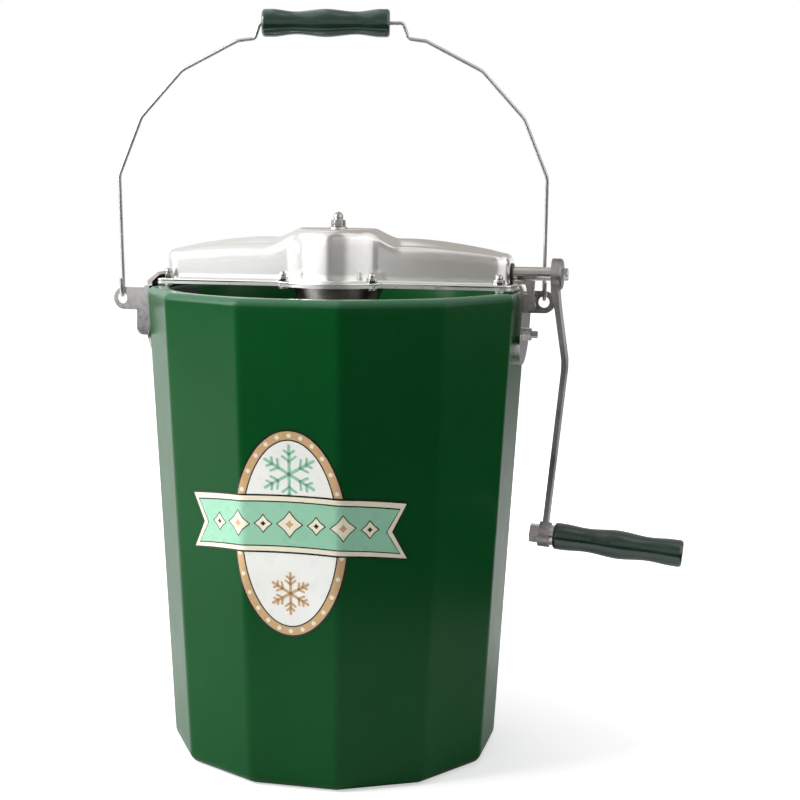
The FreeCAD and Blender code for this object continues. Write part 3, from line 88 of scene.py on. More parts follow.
class FREEZER_PG_cover(bpy.types.PropertyGroup):
    """Sizes of the pressed gear cover and of the nuts on it."""

    flange_low: length("Flange underside", "Height of the flange's underside", 0.3993)
    flange_thick: length("Flange thickness", "Thickness of the flange", 0.0021)
    flange_half: length("Flange half length", "Middle to the end of the flange", 0.15298)
    flange_side: length("Flange half width", "Middle to the side of the flange", 0.0315)
    flange_corner: length("Flange corner", "Corner radius of the flange", 0.006)
    flange_bulge: length("Flange bulge", "Radius of the flange's middle", 0.054)
    arm_end: length("Arm end", "Middle to the arm's end wall", 0.14848)
    arm_side: length("Arm half width", "Middle to the arm's side wall", 0.021)
    arm_corner: length("Arm corner", "Corner radius of the arm's end", 0.0125)
    arm_fold: length("Arm fold", "Height of the arm's fold over the rim", 0.0297)
    neck_round: length("Neck rounding", "Rounding where an arm meets the tower", 0.010)
    tower_radius: length("Tower radius", "Radius of the tower's wall", 0.040)
    tower_top: length("Tower top", "Height of the tower's flat over the rim", 0.0495)
    tower_flat: length("Tower flat", "Radius of the tower's flat", 0.0322)
    edge: length("Edge rounding", "Rounding of the roof's edge", 0.0075)
    foot: length("Foot rounding", "Rounding where the wall meets the flange", 0.0018)
    nut_seat: length("Post nut seat", "Tower's flat to the nut on the post", 0.0010)


class FREEZER_PG_grips(bpy.types.PropertyGroup):
    """Sizes and colour of the two turned grips."""

    green: colour("Green", "Colour of the painted grips", (0.0035, 0.034, 0.019))
    bail_length: length("Bail grip length", "Length of the bail's grip", 0.104)
    bail_end: length("Bail grip end", "Radius of the bail grip's ends", 0.0113)
    bail_waist: length("Bail grip waist", "Radius of the bail grip's waists", 0.0092)
    bail_shift: length("Bail grip shift", "Grip's place along the wire", -0.0045, -1.0)
    crank_length: length("Crank grip length", "Length of the crank's grip", 0.1068)
    crank_end: length("Crank grip end", "Radius of the crank grip's ends", 0.0113)
    crank_waist: length("Crank grip waist", "Radius of the crank grip's waists", 0.0101)
    crank_middle: length("Crank grip middle", "Radius of the crank grip's middle", 0.0120)
    crank_bore: length("Crank grip bore", "Radius of the crank grip's bore", 0.0034)
    crank_reach: length("Crank reach", "Axis to the middle of the crank's end", 0.1805)
    crank_height: length("Crank height", "Height of the grip's bolt at the crank's end", 0.1917)
    crank_seat: length("Crank grip seat", "Middle of the crank's end to the grip", 0.00775)
    crank_fall: FloatProperty(name="Crank grip fall", description="Fall of the grip's axis below level",
                              default=math.radians(4.94), subtype="ANGLE")


class FREEZER_PG_bail(bpy.types.PropertyGroup):
    """Sizes of the wire bail that place its grip."""

    wire: length("Wire radius", "Radius of the wire", 0.0015)
    hook: length("Hook radius", "Radius of the wire's hook", 0.0049)
    clearance: length("Grip clearance", "Play between the wire and its grip", 0.0003)
    grip_height: length("Grip height", "Hinge line to the wire inside the grip", 0.2238)
    hinge: length("Hinge height", "Height of the hinge line", 0.391125)
    lean: FloatProperty(name="Lean", description="Lean of the raised bail", default=math.radians(10.5),
                        subtype="ANGLE")


class FREEZER_PG_stage(bpy.types.PropertyGroup):
    """Camera, lamps and floor."""

    lens: FloatProperty(name="Lens", description="Focal length", default=76.55, unit="CAMERA")
    eye: FloatVectorProperty(name="Eye", description="Camera position", size=3, subtype="TRANSLATION",
                             default=(0.35924, -1.40033, 0.49066))
    key: FloatProperty(name="Key", description="Power of the large left lamp", default=60.0, unit="POWER")
    fill: FloatProperty(name="Fill", description="Power of the right lamp", default=14.0, unit="POWER")
    top: FloatProperty(name="Top", description="Power of the top lamp", default=26.0, unit="POWER")
    sky: FloatProperty(name="Sky", description="Strength of the pale surroundings", default=0.12)


# Shared mesh making.

def build(name, points, faces, finishes, body, replaced=(), weld=0.0, tones=None):
    """Makes a smooth mesh object from points and faces, and rides it on a body."""
    mesh = bpy.data.meshes.new(name)
    mesh.from_pydata(np.asarray(points, dtype=float).reshape(-1, 3), [], faces)
    for finish in finishes:
        mesh.materials.append(finish)
    if tones is not None:
        mesh.polygons.foreach_set("material_index", np.asarray(tones, dtype=np.int32))
    shape = bmesh.new()
    shape.from_mesh(mesh)
    if weld > 0:
        bmesh.ops.remove_doubles(shape, verts=shape.verts, dist=weld)
    bmesh.ops.recalc_face_normals(shape, faces=shape.faces)
    shape.to_mesh(mesh)
    shape.free()
    mesh.polygons.foreach_set("use_smooth", np.ones(len(mesh.polygons), dtype=bool))
    mesh.update()
    piece = bpy.data.objects.new(name, mesh)
    bpy.context.collection.objects.link(piece)
    if replaced:
        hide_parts(*replaced)
    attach(piece, body)
    return piece


def grid_faces(count_u, count_v, closed_v=True, start=0):
    """Quads between the rows and columns of a grid of points."""
    rows = np.arange(count_u - 1)[:, None]
    columns = np.arange(count_v if closed_v else count_v - 1)[None, :]
    after = (columns + 1) % count_v
    quads = np.stack([rows * count_v + columns, rows * count_v + after,
                      (rows + 1) * count_v + after, (rows + 1) * count_v + columns], axis=-1)
    return (quads.reshape(-1, 4) + start).tolist()


def closed_faces(points, start=0):
    """Faces of a turned grid, with its first and last rows filled."""
    count, sides = points.shape[:2]
    last = start + (count - 1) * sides
    return grid_faces(count, sides, True, start) + [[start + k for k in range(sides)][::-1],
                                                    [last + k for k in range(sides)]]


def turned(radii, turns, heights):
    """Points at given radii, turns about the axis and heights."""
    return np.stack(np.broadcast_arrays(radii * np.cos(turns), radii * np.sin(turns), heights), axis=-1)


def around(centre, radius, angles):
    """Flat points at a radius from a centre, or at a pair of radii for an oval."""
    return np.asarray(centre) + np.stack([np.cos(angles), np.sin(angles)], axis=-1) * radius


def lathe(profile, sides=96):
    """Points of a profile of radii and heights turned about Z, one row for each profile point."""
    profile = np.asarray(profile, dtype=float)
    return turned(profile[:, :1], np.linspace(0, 2 * np.pi, sides, endpoint=False), profile[:, 1:])


def moved(points, matrix):
    """Points of a grid carried by a 4x4 matrix."""
    matrix = np.array(matrix)
    return points @ matrix[:3, :3].T + matrix[:3, 3]


def quarter_turn(steps, skip=1):
    """Angles from 0 to a right angle in even steps, without the first one or more."""
    return np.linspace(0, math.pi / 2, steps)[skip:]


# Shared finishes.

EVEN = (1.0, 1.0, 1.0)


class Finish:
    """Builds one procedural material around a Principled shader."""

    def __init__(self, name, metallic=0.0, specular=0.5, coat=0.0):
        self.material = bpy.data.materials.new(name)
        self.material.use_nodes = True
        self.tree = self.material.node_tree
        self.shader = self.tree.nodes["Principled BSDF"]
        self.shader.inputs["Metallic"].default_value = metallic
        self.shader.inputs["Specular IOR Level"].default_value = specular
        self.shader.inputs["Coat Weight"].default_value = coat
        self.shader.inputs["Coat Roughness"].default_value = 0.08
        self.spot = self.node("ShaderNodeTexCoord").outputs["Object"]
        self.surface = self.tree.nodes["Material Output"].inputs["Surface"]

    def node(self, kind, **settings):
        item = self.tree.nodes.new(kind)
        for key, value in settings.items():
            setattr(item, key, value)
        return item

    def link(self, output, target):
        self.tree.links.new(output, target)

    def stretched(self, scale):
        """The object's own coordinates, drawn out along its axes."""
        mapping = self.node("ShaderNodeMapping")
        mapping.inputs["Scale"].default_value = scale
        self.link(self.spot, mapping.inputs["Vector"])
        return mapping.outputs["Vector"]

    def noise(self, scale, detail=4.0, grain=EVEN):
        item = self.node("ShaderNodeTexNoise")
        item.inputs["Scale"].default_value = scale
        item.inputs["Detail"].default_value = detail
        item.inputs["Roughness"].default_value = 0.55
        self.link(self.stretched(grain), item.inputs["Vector"])
        return item.outputs["Fac"]

    def ranged(self, value, low, high, start=0.3, stop=0.7):
        """Maps a value from one range to another and keeps it there."""
        item = self.node("ShaderNodeMapRange")
        for name, number in (("From Min", start), ("From Max", stop), ("To Min", low), ("To Max", high)):
            item.inputs[name].default_value = number
        self.link(value, item.inputs["Value"])
        return item.outputs["Result"]

    def mixed(self, factor, first, second):
        """A colour between two, each a plain colour or another node's."""
        item = self.node("ShaderNodeMix", data_type="RGBA")
        self.link(factor, item.inputs["Factor"])
        for socket, value in ((item.inputs[6], first), (item.inputs[7], second)):
            if isinstance(value, (tuple, list)):
                socket.default_value = (*value, 1.0)
            else:
                self.link(value, socket)
        return item.outputs[2]

    def tint(self, output):
        self.link(output, self.shader.inputs["Base Color"])

    def gloss(self, output):
        self.link(output, self.shader.inputs["Roughness"])

    def bump(self, height, strength, distance):
        """Adds fine relief on top of any that is there."""
        item = self.node("ShaderNodeBump")
        item.inputs["Strength"].default_value = strength
        item.inputs["Distance"].default_value = distance
        self.link(height, item.inputs["Height"])
        last = self.shader.inputs["Normal"].links
        if last:
            self.link(last[0].from_socket, item.inputs["Normal"])
        self.link(item.outputs["Normal"], self.shader.inputs["Normal"])


def shade(tone, factor):
    """A lighter or darker shade of a colour."""
    return tuple(min(1.0, channel * factor) for channel in tone)


def moulded(name, tone, low, high, orange_peel=0.10, coat=0.0):
    """Moulded or painted surface: a cloudy tint, a soft gloss and a very fine orange peel."""
    finish = Finish(name, coat=coat)
    cloud = finish.noise(9.0, 3.0)
    speck = finish.noise(900.0, 2.0)
    finish.tint(finish.mixed(finish.ranged(cloud, 0.0, 1.0), shade(tone, 0.90), shade(tone, 1.08)))
    finish.gloss(finish.ranged(finish.noise(60.0, 3.0), low, high))
    finish.bump(speck, orange_peel, 0.0002)
    return finish.material


def tub_plastic(name, tone, rim_highlight_green, rim):
    """Moulded plastic with a cloudy tint, and a painted highlight that makes it paler where its rounded rim
    begins, standing in for light from above.
    """
    finish = Finish(name, specular=0.14)
    height = finish.node("ShaderNodeSeparateXYZ")
    finish.link(finish.spot, height.inputs["Vector"])
    cloud = finish.ranged(finish.noise(9.0, 3.0), 0.0, 1.0)
    body = finish.mixed(cloud, shade(tone, 0.92), shade(tone, 1.08))
    # Painted highlight: the rim is mixed towards a paler green where light from above falls on it.
    rim_highlight_mask = finish.ranged(height.outputs["Z"], 0.0, RIM_HIGHLIGHT_SHARE, rim, rim + RIM_FADE)
    finish.tint(finish.mixed(rim_highlight_mask, body, tuple(rim_highlight_green)))
    finish.gloss(finish.ranged(finish.noise(40.0, 2.0), 0.235, 0.265))
    finish.bump(finish.noise(700.0, 2.0), 0.02, 0.0001)
    return finish.material


def metal(name, tone, dark, low, high, grain=EVEN, scale=300.0, marks=0.12, depth=0.0001):
    """Worked metal: a mottled tone, a grain that may be drawn out along one axis, and fine marks."""
    finish = Finish(name, metallic=1.0)
    cloud = finish.noise(28.0, 5.0)
    lines = finish.noise(scale, 4.0, grain)
    finish.tint(finish.mixed(finish.ranged(cloud, 0.0, 1.0), dark, tone))
    finish.gloss(finish.ranged(lines, low, high))
    finish.bump(lines, marks, depth)
    return finish.material


def pan_metal(name):
    """Pressed steel that is bright at its flange, with painted shade making the dish below it dark where it
    lies in the shade under the cover.
    """
    finish = Finish(name, metallic=1.0)
    height = finish.node("ShaderNodeSeparateXYZ")
    finish.link(finish.spot, height.inputs["Vector"])
    bright = finish.mixed(finish.ranged(finish.noise(28.0), 0.0, 1.0), (0.66, 0.65, 0.63), (0.74, 0.73, 0.71))
    # Painted shade: the dish below the flange is darkened where shade falls under the cover.
    painted_shade_dish = finish.mixed(finish.ranged(finish.noise(40.0, 5.0), 0.0, 1.0), (0.05, 0.045, 0.04),
                         (0.15, 0.14, 0.13))
    finish.tint(finish.mixed(finish.ranged(height.outputs["Z"], 0.0, 1.0, *SHADE_LINE), painted_shade_dish, bright))
    finish.gloss(finish.ranged(finish.noise(200.0), 0.26, 0.38))
    return finish.material


# The painted highlight on the rim, standing in for light from above: how far it goes towards the highlight
# green, and over what height it fades in.
RIM_HIGHLIGHT_SHARE = 0.45
RIM_FADE = 0.004
# Heights between which the pan turns from the painted shade on its dish to bright.
SHADE_LINE = (0.3955, 0.3970)
# Worked metals: light and dark tone, roughness from and to, then any grain, scale, marks and depth.
METALS = {
    "pressed_steel": ((0.86, 0.85, 0.83), (0.81, 0.80, 0.78), 0.22, 0.26,
                      (0.2, 1.0, 1.0), 500.0, 0.02, 0.00005),
    "plate_steel": ((0.64, 0.63, 0.62), (0.54, 0.53, 0.52), 0.14, 0.24),
    "dark_steel": ((0.10, 0.095, 0.09), (0.05, 0.045, 0.045), 0.32, 0.48),
    "latch_steel": ((0.62, 0.58, 0.56), (0.34, 0.31, 0.30), 0.22, 0.38),
    "fastener_steel": ((0.66, 0.64, 0.62), (0.42, 0.40, 0.39), 0.18, 0.34),
    "cap_nut_steel": ((0.56, 0.55, 0.54), (0.44, 0.43, 0.42), 0.10, 0.20),
    "shaft_steel": ((0.66, 0.64, 0.61), (0.50, 0.48, 0.45), 0.22, 0.34, (0.05, 1.0, 1.0), 900.0),
    "crank_steel": ((0.44, 0.42, 0.41), (0.17, 0.16, 0.155), 0.34, 0.56, EVEN, 420.0, 0.45, 0.0003),
    "wire_steel": ((0.66, 0.65, 0.64), (0.56, 0.55, 0.54), 0.34, 0.44, EVEN, 300.0, 0.01),
    "gear_iron": ((0.20, 0.19, 0.18), (0.08, 0.075, 0.07), 0.38, 0.58, EVEN, 260.0, 0.5, 0.0003),
    "bush_brass": ((0.62, 0.44, 0.16), (0.42, 0.28, 0.10), 0.22, 0.40),
    "can_steel": ((0.74, 0.74, 0.74), (0.60, 0.60, 0.61), 0.22, 0.34, (1.0, 1.0, 0.05), 500.0),
    "dasher_metal": ((0.58, 0.58, 0.58), (0.40, 0.40, 0.40), 0.38, 0.55, EVEN, 350.0, 0.4, 0.0003),
}
# Moulded pieces: tone, roughness from and to.
PLASTICS = {
    "bush_black": ((0.012, 0.011, 0.010), 0.34, 0.50),
    "scraper_plastic": ((0.72, 0.68, 0.58), 0.36, 0.50),
}
FINISHES = {}


def make_finishes(scene):
    """One material for each of the record's slots, and one for the pan."""
    tub = scene.freezer_tub
    FINISHES.clear()
    # The tub's finish carries the painted highlight on its rim.
    FINISHES["tub_green"] = tub_plastic("tub_green", tub.green, tub.rim_highlight_green, tub.height - tub.rim_round)
    FINISHES["grip_green"] = moulded("grip_green", scene.freezer_grips.green, 0.26, 0.40, coat=1.0)
    FINISHES["gear_pan"] = pan_metal("gear_pan_steel")
    for name, looks in METALS.items():
        FINISHES[name] = metal(name, *looks)
    for name, looks in PLASTICS.items():
        FINISHES[name] = moulded(name, *looks)


# Tub.

# Rings of the underside, from the tub's edge in, and the innermost ring of its floor.
BASE_INSETS = (0.09, 0.05)
FLOOR_RING = 0.06
LEAST_CORNER = 0.002
SIDES = 12


def side_outline(turns, apothem, corner):
    """Radius of a regular twelve-sided outline with rounded corners, for each turn about the axis."""
    step = 2 * math.pi / SIDES
    offset = np.abs((turns + step / 2) % step - step / 2)
    middle = (apothem - corner) / math.cos(step / 2)
    tangent = np.arctan2(middle * math.sin(step / 2), apothem)
    straight = apothem / np.cos(offset)
    away = step / 2 - offset
    inside = np.maximum(corner ** 2 - (middle * np.sin(away)) ** 2, 0.0)
    rounded = middle * np.cos(away) + np.sqrt(inside)
    return np.where(offset < tangent, straight, rounded)


def tub_apothem(tub, height):
    """Axis to the middle of a side, which grows evenly with the height."""
    share = np.asarray(height) / tub.height
    return tub.base_apothem + (tub.top_apothem - tub.base_apothem) * share


def tub_turns(tub):
    """Turns about the axis, closer together at the twelve corners."""
    half = math.pi / SIDES
    edge = tub.corner * math.tan(half) / tub.top_apothem * 1.6
    local = np.concatenate([np.linspace(-half, -half + edge, 6)[:-1],
                            np.linspace(-half + edge, half - edge, 8),
                            np.linspace(half - edge, half, 6)[1:-1]])
    return (np.arange(SIDES)[:, None] * 2 * half + local[None, :]).ravel()


class FREEZER_OT_tub(bpy.types.Operator):
    """Makes the tub: an outline turned about the axis, drawn up a profile and back down the bore."""

    bl_idname = "freezer.tub"
    bl_label = "Tub"

    def execute(self, context):
        tub = context.scene.freezer_tub
        turns = tub_turns(tub)
        rows = []

        def ring(inset, height, apothem=None):
            base = tub_apothem(tub, height) if apothem is None else apothem
            outline = side_outline(turns, base - inset, max(tub.corner - inset, LEAST_CORNER))
            rows.append(turned(outline, turns, height))

        def circle(radius, height):
            rows.append(turned(radius, turns, height))

        for inset in (*BASE_INSETS, tub.base_round):
            ring(inset, 0.0, tub.base_apothem)
        for angle in quarter_turn(9):
            ring(tub.base_round * (1 - math.sin(angle)), tub.base_round * (1 - math.cos(angle)))
        for height in np.linspace(tub.base_round, tub.height - tub.rim_round, 60)[1:]:
            ring(0.0, height)
        for angle in quarter_turn(9):
            ring(tub.rim_round * (1 - math.cos(angle)), tub.height - tub.rim_round * (1 - math.sin(angle)))
        lip = tub.lip_round
        outer, inner = rows[-1], turned(tub.rim_bore + lip, turns, tub.height)
        for share in (0.35, 0.7, 1.0):
            rows.append(outer + (inner - outer) * share)
        for angle in quarter_turn(6):
            circle(tub.rim_bore + lip * (1 - math.sin(angle)), tub.height - lip * (1 - math.cos(angle)))
        top, foot = tub.height - lip, tub.floor_round
        for height in np.linspace(top, tub.floor + foot, 12)[1:]:
            circle(tub.floor_bore + (tub.rim_bore - tub.floor_bore) * (height - tub.floor)
                   / (tub.height - tub.floor), height)
        for angle in quarter_turn(6):
            circle(tub.floor_bore - foot * (1 - math.cos(angle)), tub.floor + foot * (1 - math.sin(angle)))
        circle(FLOOR_RING, tub.floor)
        build("tub_shell", rows, closed_faces(np.array(rows)), [FINISHES["tub_green"]], "stand",
              ("tub",))
        return {"FINISHED"}


# Label on the tub.

# Middle of the oval, its outlines from the outside in, and the line of beads on its border.
DISC = (0.0, -0.002)
OVALS = ((0.0475, 0.0835), (0.0460, 0.0820), (0.0395, 0.0755), (0.0384, 0.0744))
BEAD_LINE = (0.04275, 0.07875)
BEADS = 28
BEAD = 0.0018
# Half length, half height and notch of the ribbon's outlines, its arch, and its lozenges' spacing.
BANDS = ((0.0960, 0.0235, 0.012), (0.0945, 0.0221, 0.012), (0.0895, 0.0184, 0.011), (0.0884, 0.0174, 0.011))
ARCH = 0.006
ARCH_HALF = 0.088
LOZENGE_STEP = 0.0215
LOZENGE_WAIST = 0.62
# How far the lowest layer of ink stands off the tub, and each layer over the one below.
INK_LIFT = 0.00015
LAYER_LIFT = 0.00012
NOTCH_STEPS = 11


def on_tub(tub, across, height, lift):
    """Places flat label points on the tub's side: across is measured along the rounded outline."""
    turns = np.linspace(-math.pi / 3, math.pi / 3, 2401)
    line = around((0, 0), side_outline(turns, 1.0, tub.corner / tub.top_apothem * 1.07)[:, None], turns)
    run = np.concatenate([[0.0], np.cumsum(np.linalg.norm(np.diff(line, axis=0), axis=1))])
    run -= run[len(run) // 2]
    level = tub_apothem(tub, height)
    turn = np.interp(across / level, run, turns)
    return turned(side_outline(turn, level + lift, tub.corner + lift), turn - math.pi / 2, height)


def ring_patch(outer, inner, layer, tone, steps=4):
    """A flat ring between two outlines of as many points, with its layer and tone."""
    shares = np.linspace(0.0, 1.0, steps)[:, None, None]
    return outer + (inner - outer) * shares, layer, tone, True


def fill_patch(outline, middle, layer, tone, steps=40):
    """A flat outline filled in from its edge to its middle."""
    return ring_patch(outline, np.broadcast_to(middle, outline.shape), layer, tone, steps)


def fill_band(outline, layer, tone, steps=16):
    """A ribbon outline filled across from its lower edge to its upper edge."""
    half = (len(outline) - 2 * NOTCH_STEPS) // 2
    upper = outline[:half]
    lower = outline[half + NOTCH_STEPS:2 * half + NOTCH_STEPS][::-1]
    shares = np.linspace(0.0, 1.0, steps)[:, None, None]
    bow = np.abs(np.linspace(-1.0, 1.0, half)) ** 14
    flat = lower + (upper - lower) * shares
    dent = (1 - np.abs(shares[..., 0] * 2 - 1)) * bow * 0.011
    flat[..., 0] -= np.sign(flat[..., 0]) * dent
    return flat, layer, tone, False


def oval_outline(centre, wide, tall, sides=320):
    """An oval of half width wide and half height tall."""
    return around(centre, (wide, tall), np.linspace(0, 2 * np.pi, sides, endpoint=False))


def band_outline(half_length, half_height, arch, notch, steps=170):
    """A ribbon outline: arched edges, with ends that step back to a notch."""
    x = np.linspace(-half_length, half_length, steps)
    lift = arch * (1 - (x / half_length) ** 2)
    upper = np.stack([x, half_height + lift], axis=-1)
    lower = np.stack([x[::-1], -half_height + lift[::-1]], axis=-1)
    share = np.linspace(1, -1, NOTCH_STEPS + 2)[1:-1]
    side = np.stack([half_length - notch * (1 - np.abs(share)), half_height * share], axis=-1)
    return np.concatenate([upper, side, lower, side[::-1] * (-1, 1)])


def star_outline(centre, arms, outer, inner, share=8):
    """A pointed star whose straight edges are divided evenly."""
    index = np.arange(arms * 2 + 1)
    radii = np.where(index % 2 == 0, outer, inner)[:, None]
    corners = around((0, 0), radii, index * np.pi / arms)
    steps = np.arange(arms * 2 * share) / share
    return np.asarray(centre) + np.stack([np.interp(steps, index, corners[:, k]) for k in (0, 1)], axis=-1)


def bar_outline(start, end, half):
    """A round-ended bar between two points."""
    heading = math.atan2(end[1] - start[1], end[0] - start[0])
    turn = heading + np.linspace(math.pi / 2, 3 * math.pi / 2, 8)
    return np.concatenate([around(start, half, turn), around(end, half, turn - math.pi)])


def snow_bars(centre, size, half):
    """Bars of a six-armed snow crystal, each arm with two pairs of twigs."""
    bars = []
    for arm in range(6):
        turn = math.pi / 6 + arm * math.pi / 3
        bars.append((centre, around(centre, size, turn), half))
        for share, twig in ((0.45, 0.30), (0.70, 0.22)):
            root = around(centre, size * share, turn)
            for side in (-1, 1):
                bars.append((root, around(root, size * twig, turn + side * math.pi / 3.4), half * 0.8))
    return bars


class FREEZER_OT_label(bpy.types.Operator):
    """Makes the printed label: flat outlines filled from their middles and laid over the tub's sides."""

    bl_idname = "freezer.label"
    bl_label = "Label"

    def execute(self, context):
        tub = context.scene.freezer_tub
        names = ["label_ink", "label_cream", "label_mint", "label_white", "label_tan"]
        inks = [moulded(name, getattr(tub, name), 0.24, 0.34, orange_peel=0.05) for name in names]
        ink, cream, mint, white, tan = range(5)
        ovals = [oval_outline(DISC, wide, tall) for wide, tall in OVALS]
        patches = [ring_patch(ovals[0], ovals[1], 0, ink), ring_patch(ovals[1], ovals[2], 0, tan),
                   ring_patch(ovals[2], ovals[3], 0, ink), fill_patch(ovals[3], DISC, 0, white)]
        for spot in oval_outline(DISC, *BEAD_LINE, BEADS):
            patches.append(fill_patch(oval_outline(spot, BEAD, BEAD, 20), spot, 1, cream, 4))
        for centre, size, half, tone in (((0.0, 0.046), 0.0225, 0.0012, mint),
                                         ((0.0, -0.050), 0.0165, 0.0011, tan)):
            for start, end, thick in snow_bars(centre, size, half):
                middle = (np.asarray(start) + end) / 2
                patches.append(fill_patch(bar_outline(start, end, thick), middle, 1, tone, 4))
        bands = [band_outline(half, tall, ARCH, notch) for half, tall, notch in BANDS]
        patches += [ring_patch(bands[0], bands[1], 2, ink), ring_patch(bands[1], bands[2], 2, cream),
                    ring_patch(bands[2], bands[3], 2, ink), fill_band(bands[3], 2, mint)]
        for index in range(-3, 4):
            across = index * LOZENGE_STEP
            spot = (across, ARCH * (1 - (across / ARCH_HALF) ** 2))
            size = 0.0098 if index % 2 == 0 else 0.0066
            reaches = (size + 0.0012, size, size * 0.34)
            stars = [star_outline(spot, 4, reach, reach * LOZENGE_WAIST) for reach in reaches]
            patches += [ring_patch(stars[0], stars[1], 3, ink), ring_patch(stars[1], stars[2], 3, cream),
                        fill_patch(stars[2], spot, 3, tan if index % 2 == 0 else ink, 4)]
        points, faces, indices = [], [], []
        start = 0
        for flat, layer, tone, closed in patches:
            lift = INK_LIFT + LAYER_LIFT * layer
            placed = on_tub(tub, flat[..., 0], tub.label_middle + flat[..., 1], lift)
            quads = grid_faces(*placed.shape[:2], closed, start)
            points.append(placed.reshape(-1, 3))
            faces += quads
            indices += [tone] * len(quads)
            start += len(points[-1])
        piece = build("tub_label", np.concatenate(points), faces, inks, "stand", tones=indices)
        turn_outward(piece)
        return {"FINISHED"}


def turn_outward(piece):
    """Flips faces that look towards the axis."""
    mesh = piece.data
    count = len(mesh.polygons)
    normals = np.empty(count * 3)
    centres = np.empty(count * 3)
    mesh.polygons.foreach_get("normal", normals)
    mesh.polygons.foreach_get("center", centres)
    facing = np.sum(normals.reshape(-1, 3)[:, :2] * centres.reshape(-1, 3)[:, :2], axis=1)
    shape = bmesh.new()
    shape.from_mesh(mesh)
    shape.faces.ensure_lookup_table()
    wrong = [shape.faces[int(index)] for index in np.nonzero(facing < 0)[0]]
    bmesh.ops.reverse_faces(shape, faces=wrong)
    shape.to_mesh(mesh)
    shape.free()


# Gear cover.

# The arms' ridge: distance from the axis and height over the rim, from the tower out.
RIDGE = np.array([(0.0, 0.0495), (0.030, 0.0494), (0.044, 0.0440), (0.052, 0.0422), (0.066, 0.0421),
                  (0.088, 0.0406), (0.109, 0.0378), (0.128, 0.0346), (0.14848, 0.0306)])
# Power of the arms' arch, slope of the tower's side across the arms and along them, and the roof's roundings.
ARM_ARCH = 1.8
SIDE_SLOPE = 1.60
SADDLE_SLOPE = 0.52
SHOULDER = 0.0022
BLEND = 0.0030
# Where the roof's spine ends: the arm's half widths from its end wall, and what it keeps off the corner.
SPINE_END = 0.62
SPINE_GAP = 0.002


def cover_plan(cover):
    """One quarter of the cover's plan: wall line, flange line and spine point for each station."""
    end, side, corner = cover.arm_end, cover.arm_side, cover.arm_corner
    tower, neck = cover.tower_radius, cover.neck_round
    reach = math.sqrt((tower + neck) ** 2 - (side + neck) ** 2)
    touch = math.atan2(side + neck, reach)
    quarter = math.pi / 2
    bulge = cover.flange_bulge
    meet = math.asin(cover.flange_side / bulge)
    wall, flange, spine = [], [], []

    def station(wall_points, flange_points, spine_x):
        wall.append(wall_points)
        flange.append(flange_points)
        spine.append(spine_x)

    def line(first, second, count):
        share = np.linspace(0, 1, count, endpoint=False)[:, None]
        return np.asarray(first) + (np.asarray(second) - np.asarray(first)) * share

    def bend(centre, radius, start, stop, count, whole=False):
        return around(centre, radius, np.linspace(start, stop, count, endpoint=whole))

    hip = end - side * SPINE_END
    shoulder = end - corner - SPINE_GAP
    station(line((end, 0), (end, side - corner), 8),
            line((cover.flange_half, 0), (cover.flange_half, cover.flange_side - cover.flange_corner), 8),
            np.full(8, hip))
    station(bend((end - corner, side - corner), corner, 0, quarter, 12),
            bend((cover.flange_half - cover.flange_corner, cover.flange_side - cover.flange_corner),
                 cover.flange_corner, 0, quarter, 12),
            np.linspace(hip, shoulder, 12, endpoint=False))
    straight = line((end - corner, side), (reach, side), 60)
    station(straight, line((cover.flange_half - cover.flange_corner, cover.flange_side),
                           (bulge * math.cos(meet), cover.flange_side), 60),
            np.linspace(shoulder, reach, 60, endpoint=False))
    notch = bend((reach, side + neck), neck, -quarter, touch - math.pi, 10)
    round_tower = bend((0, 0), tower, touch, quarter, 36, True)
    last = np.concatenate([notch, round_tower])
    station(last, bend((0, 0), bulge, meet, quarter, 46, True), np.append(last[:-1, 0], 0.0))
    return np.concatenate(wall), np.concatenate(flange), np.concatenate(spine)


def whole_plan(quarter):
    """Mirrors one quarter of a plan into the whole closed line."""
    left = quarter[::-1][1:] * (-1, 1)
    back = quarter[1:] * (-1, -1)
    right = quarter[::-1][1:-1] * (1, -1)
    return np.concatenate([quarter, left, back, right])


def cover_roof(cover, x, y):
    """Height of the roof over the rim: arched arms whose ridge climbs smoothly to the round tower."""
    reach = np.abs(x)
    across = np.abs(y)
    ridge = smooth_line(RIDGE[:, 0], RIDGE[:, 1], reach)
    bow = 1 - np.clip(across / cover.arm_side, 0, 1) ** ARM_ARCH
    arch = cover.arm_fold + (ridge - cover.arm_fold) * bow
    radius = np.hypot(x, y)
    along = reach / np.maximum(radius, 1e-6)
    slope = SIDE_SLOPE + (SADDLE_SLOPE - SIDE_SLOPE) * along ** 3
    fall = np.maximum(radius - cover.tower_flat, 0)
    tower = cover.tower_top - slope * fall ** 2 / (fall + SHOULDER)
    share = np.clip(0.5 + (tower - arch) / (2 * BLEND), 0, 1)
    return arch + (tower - arch) * share + BLEND * share * (1 - share)


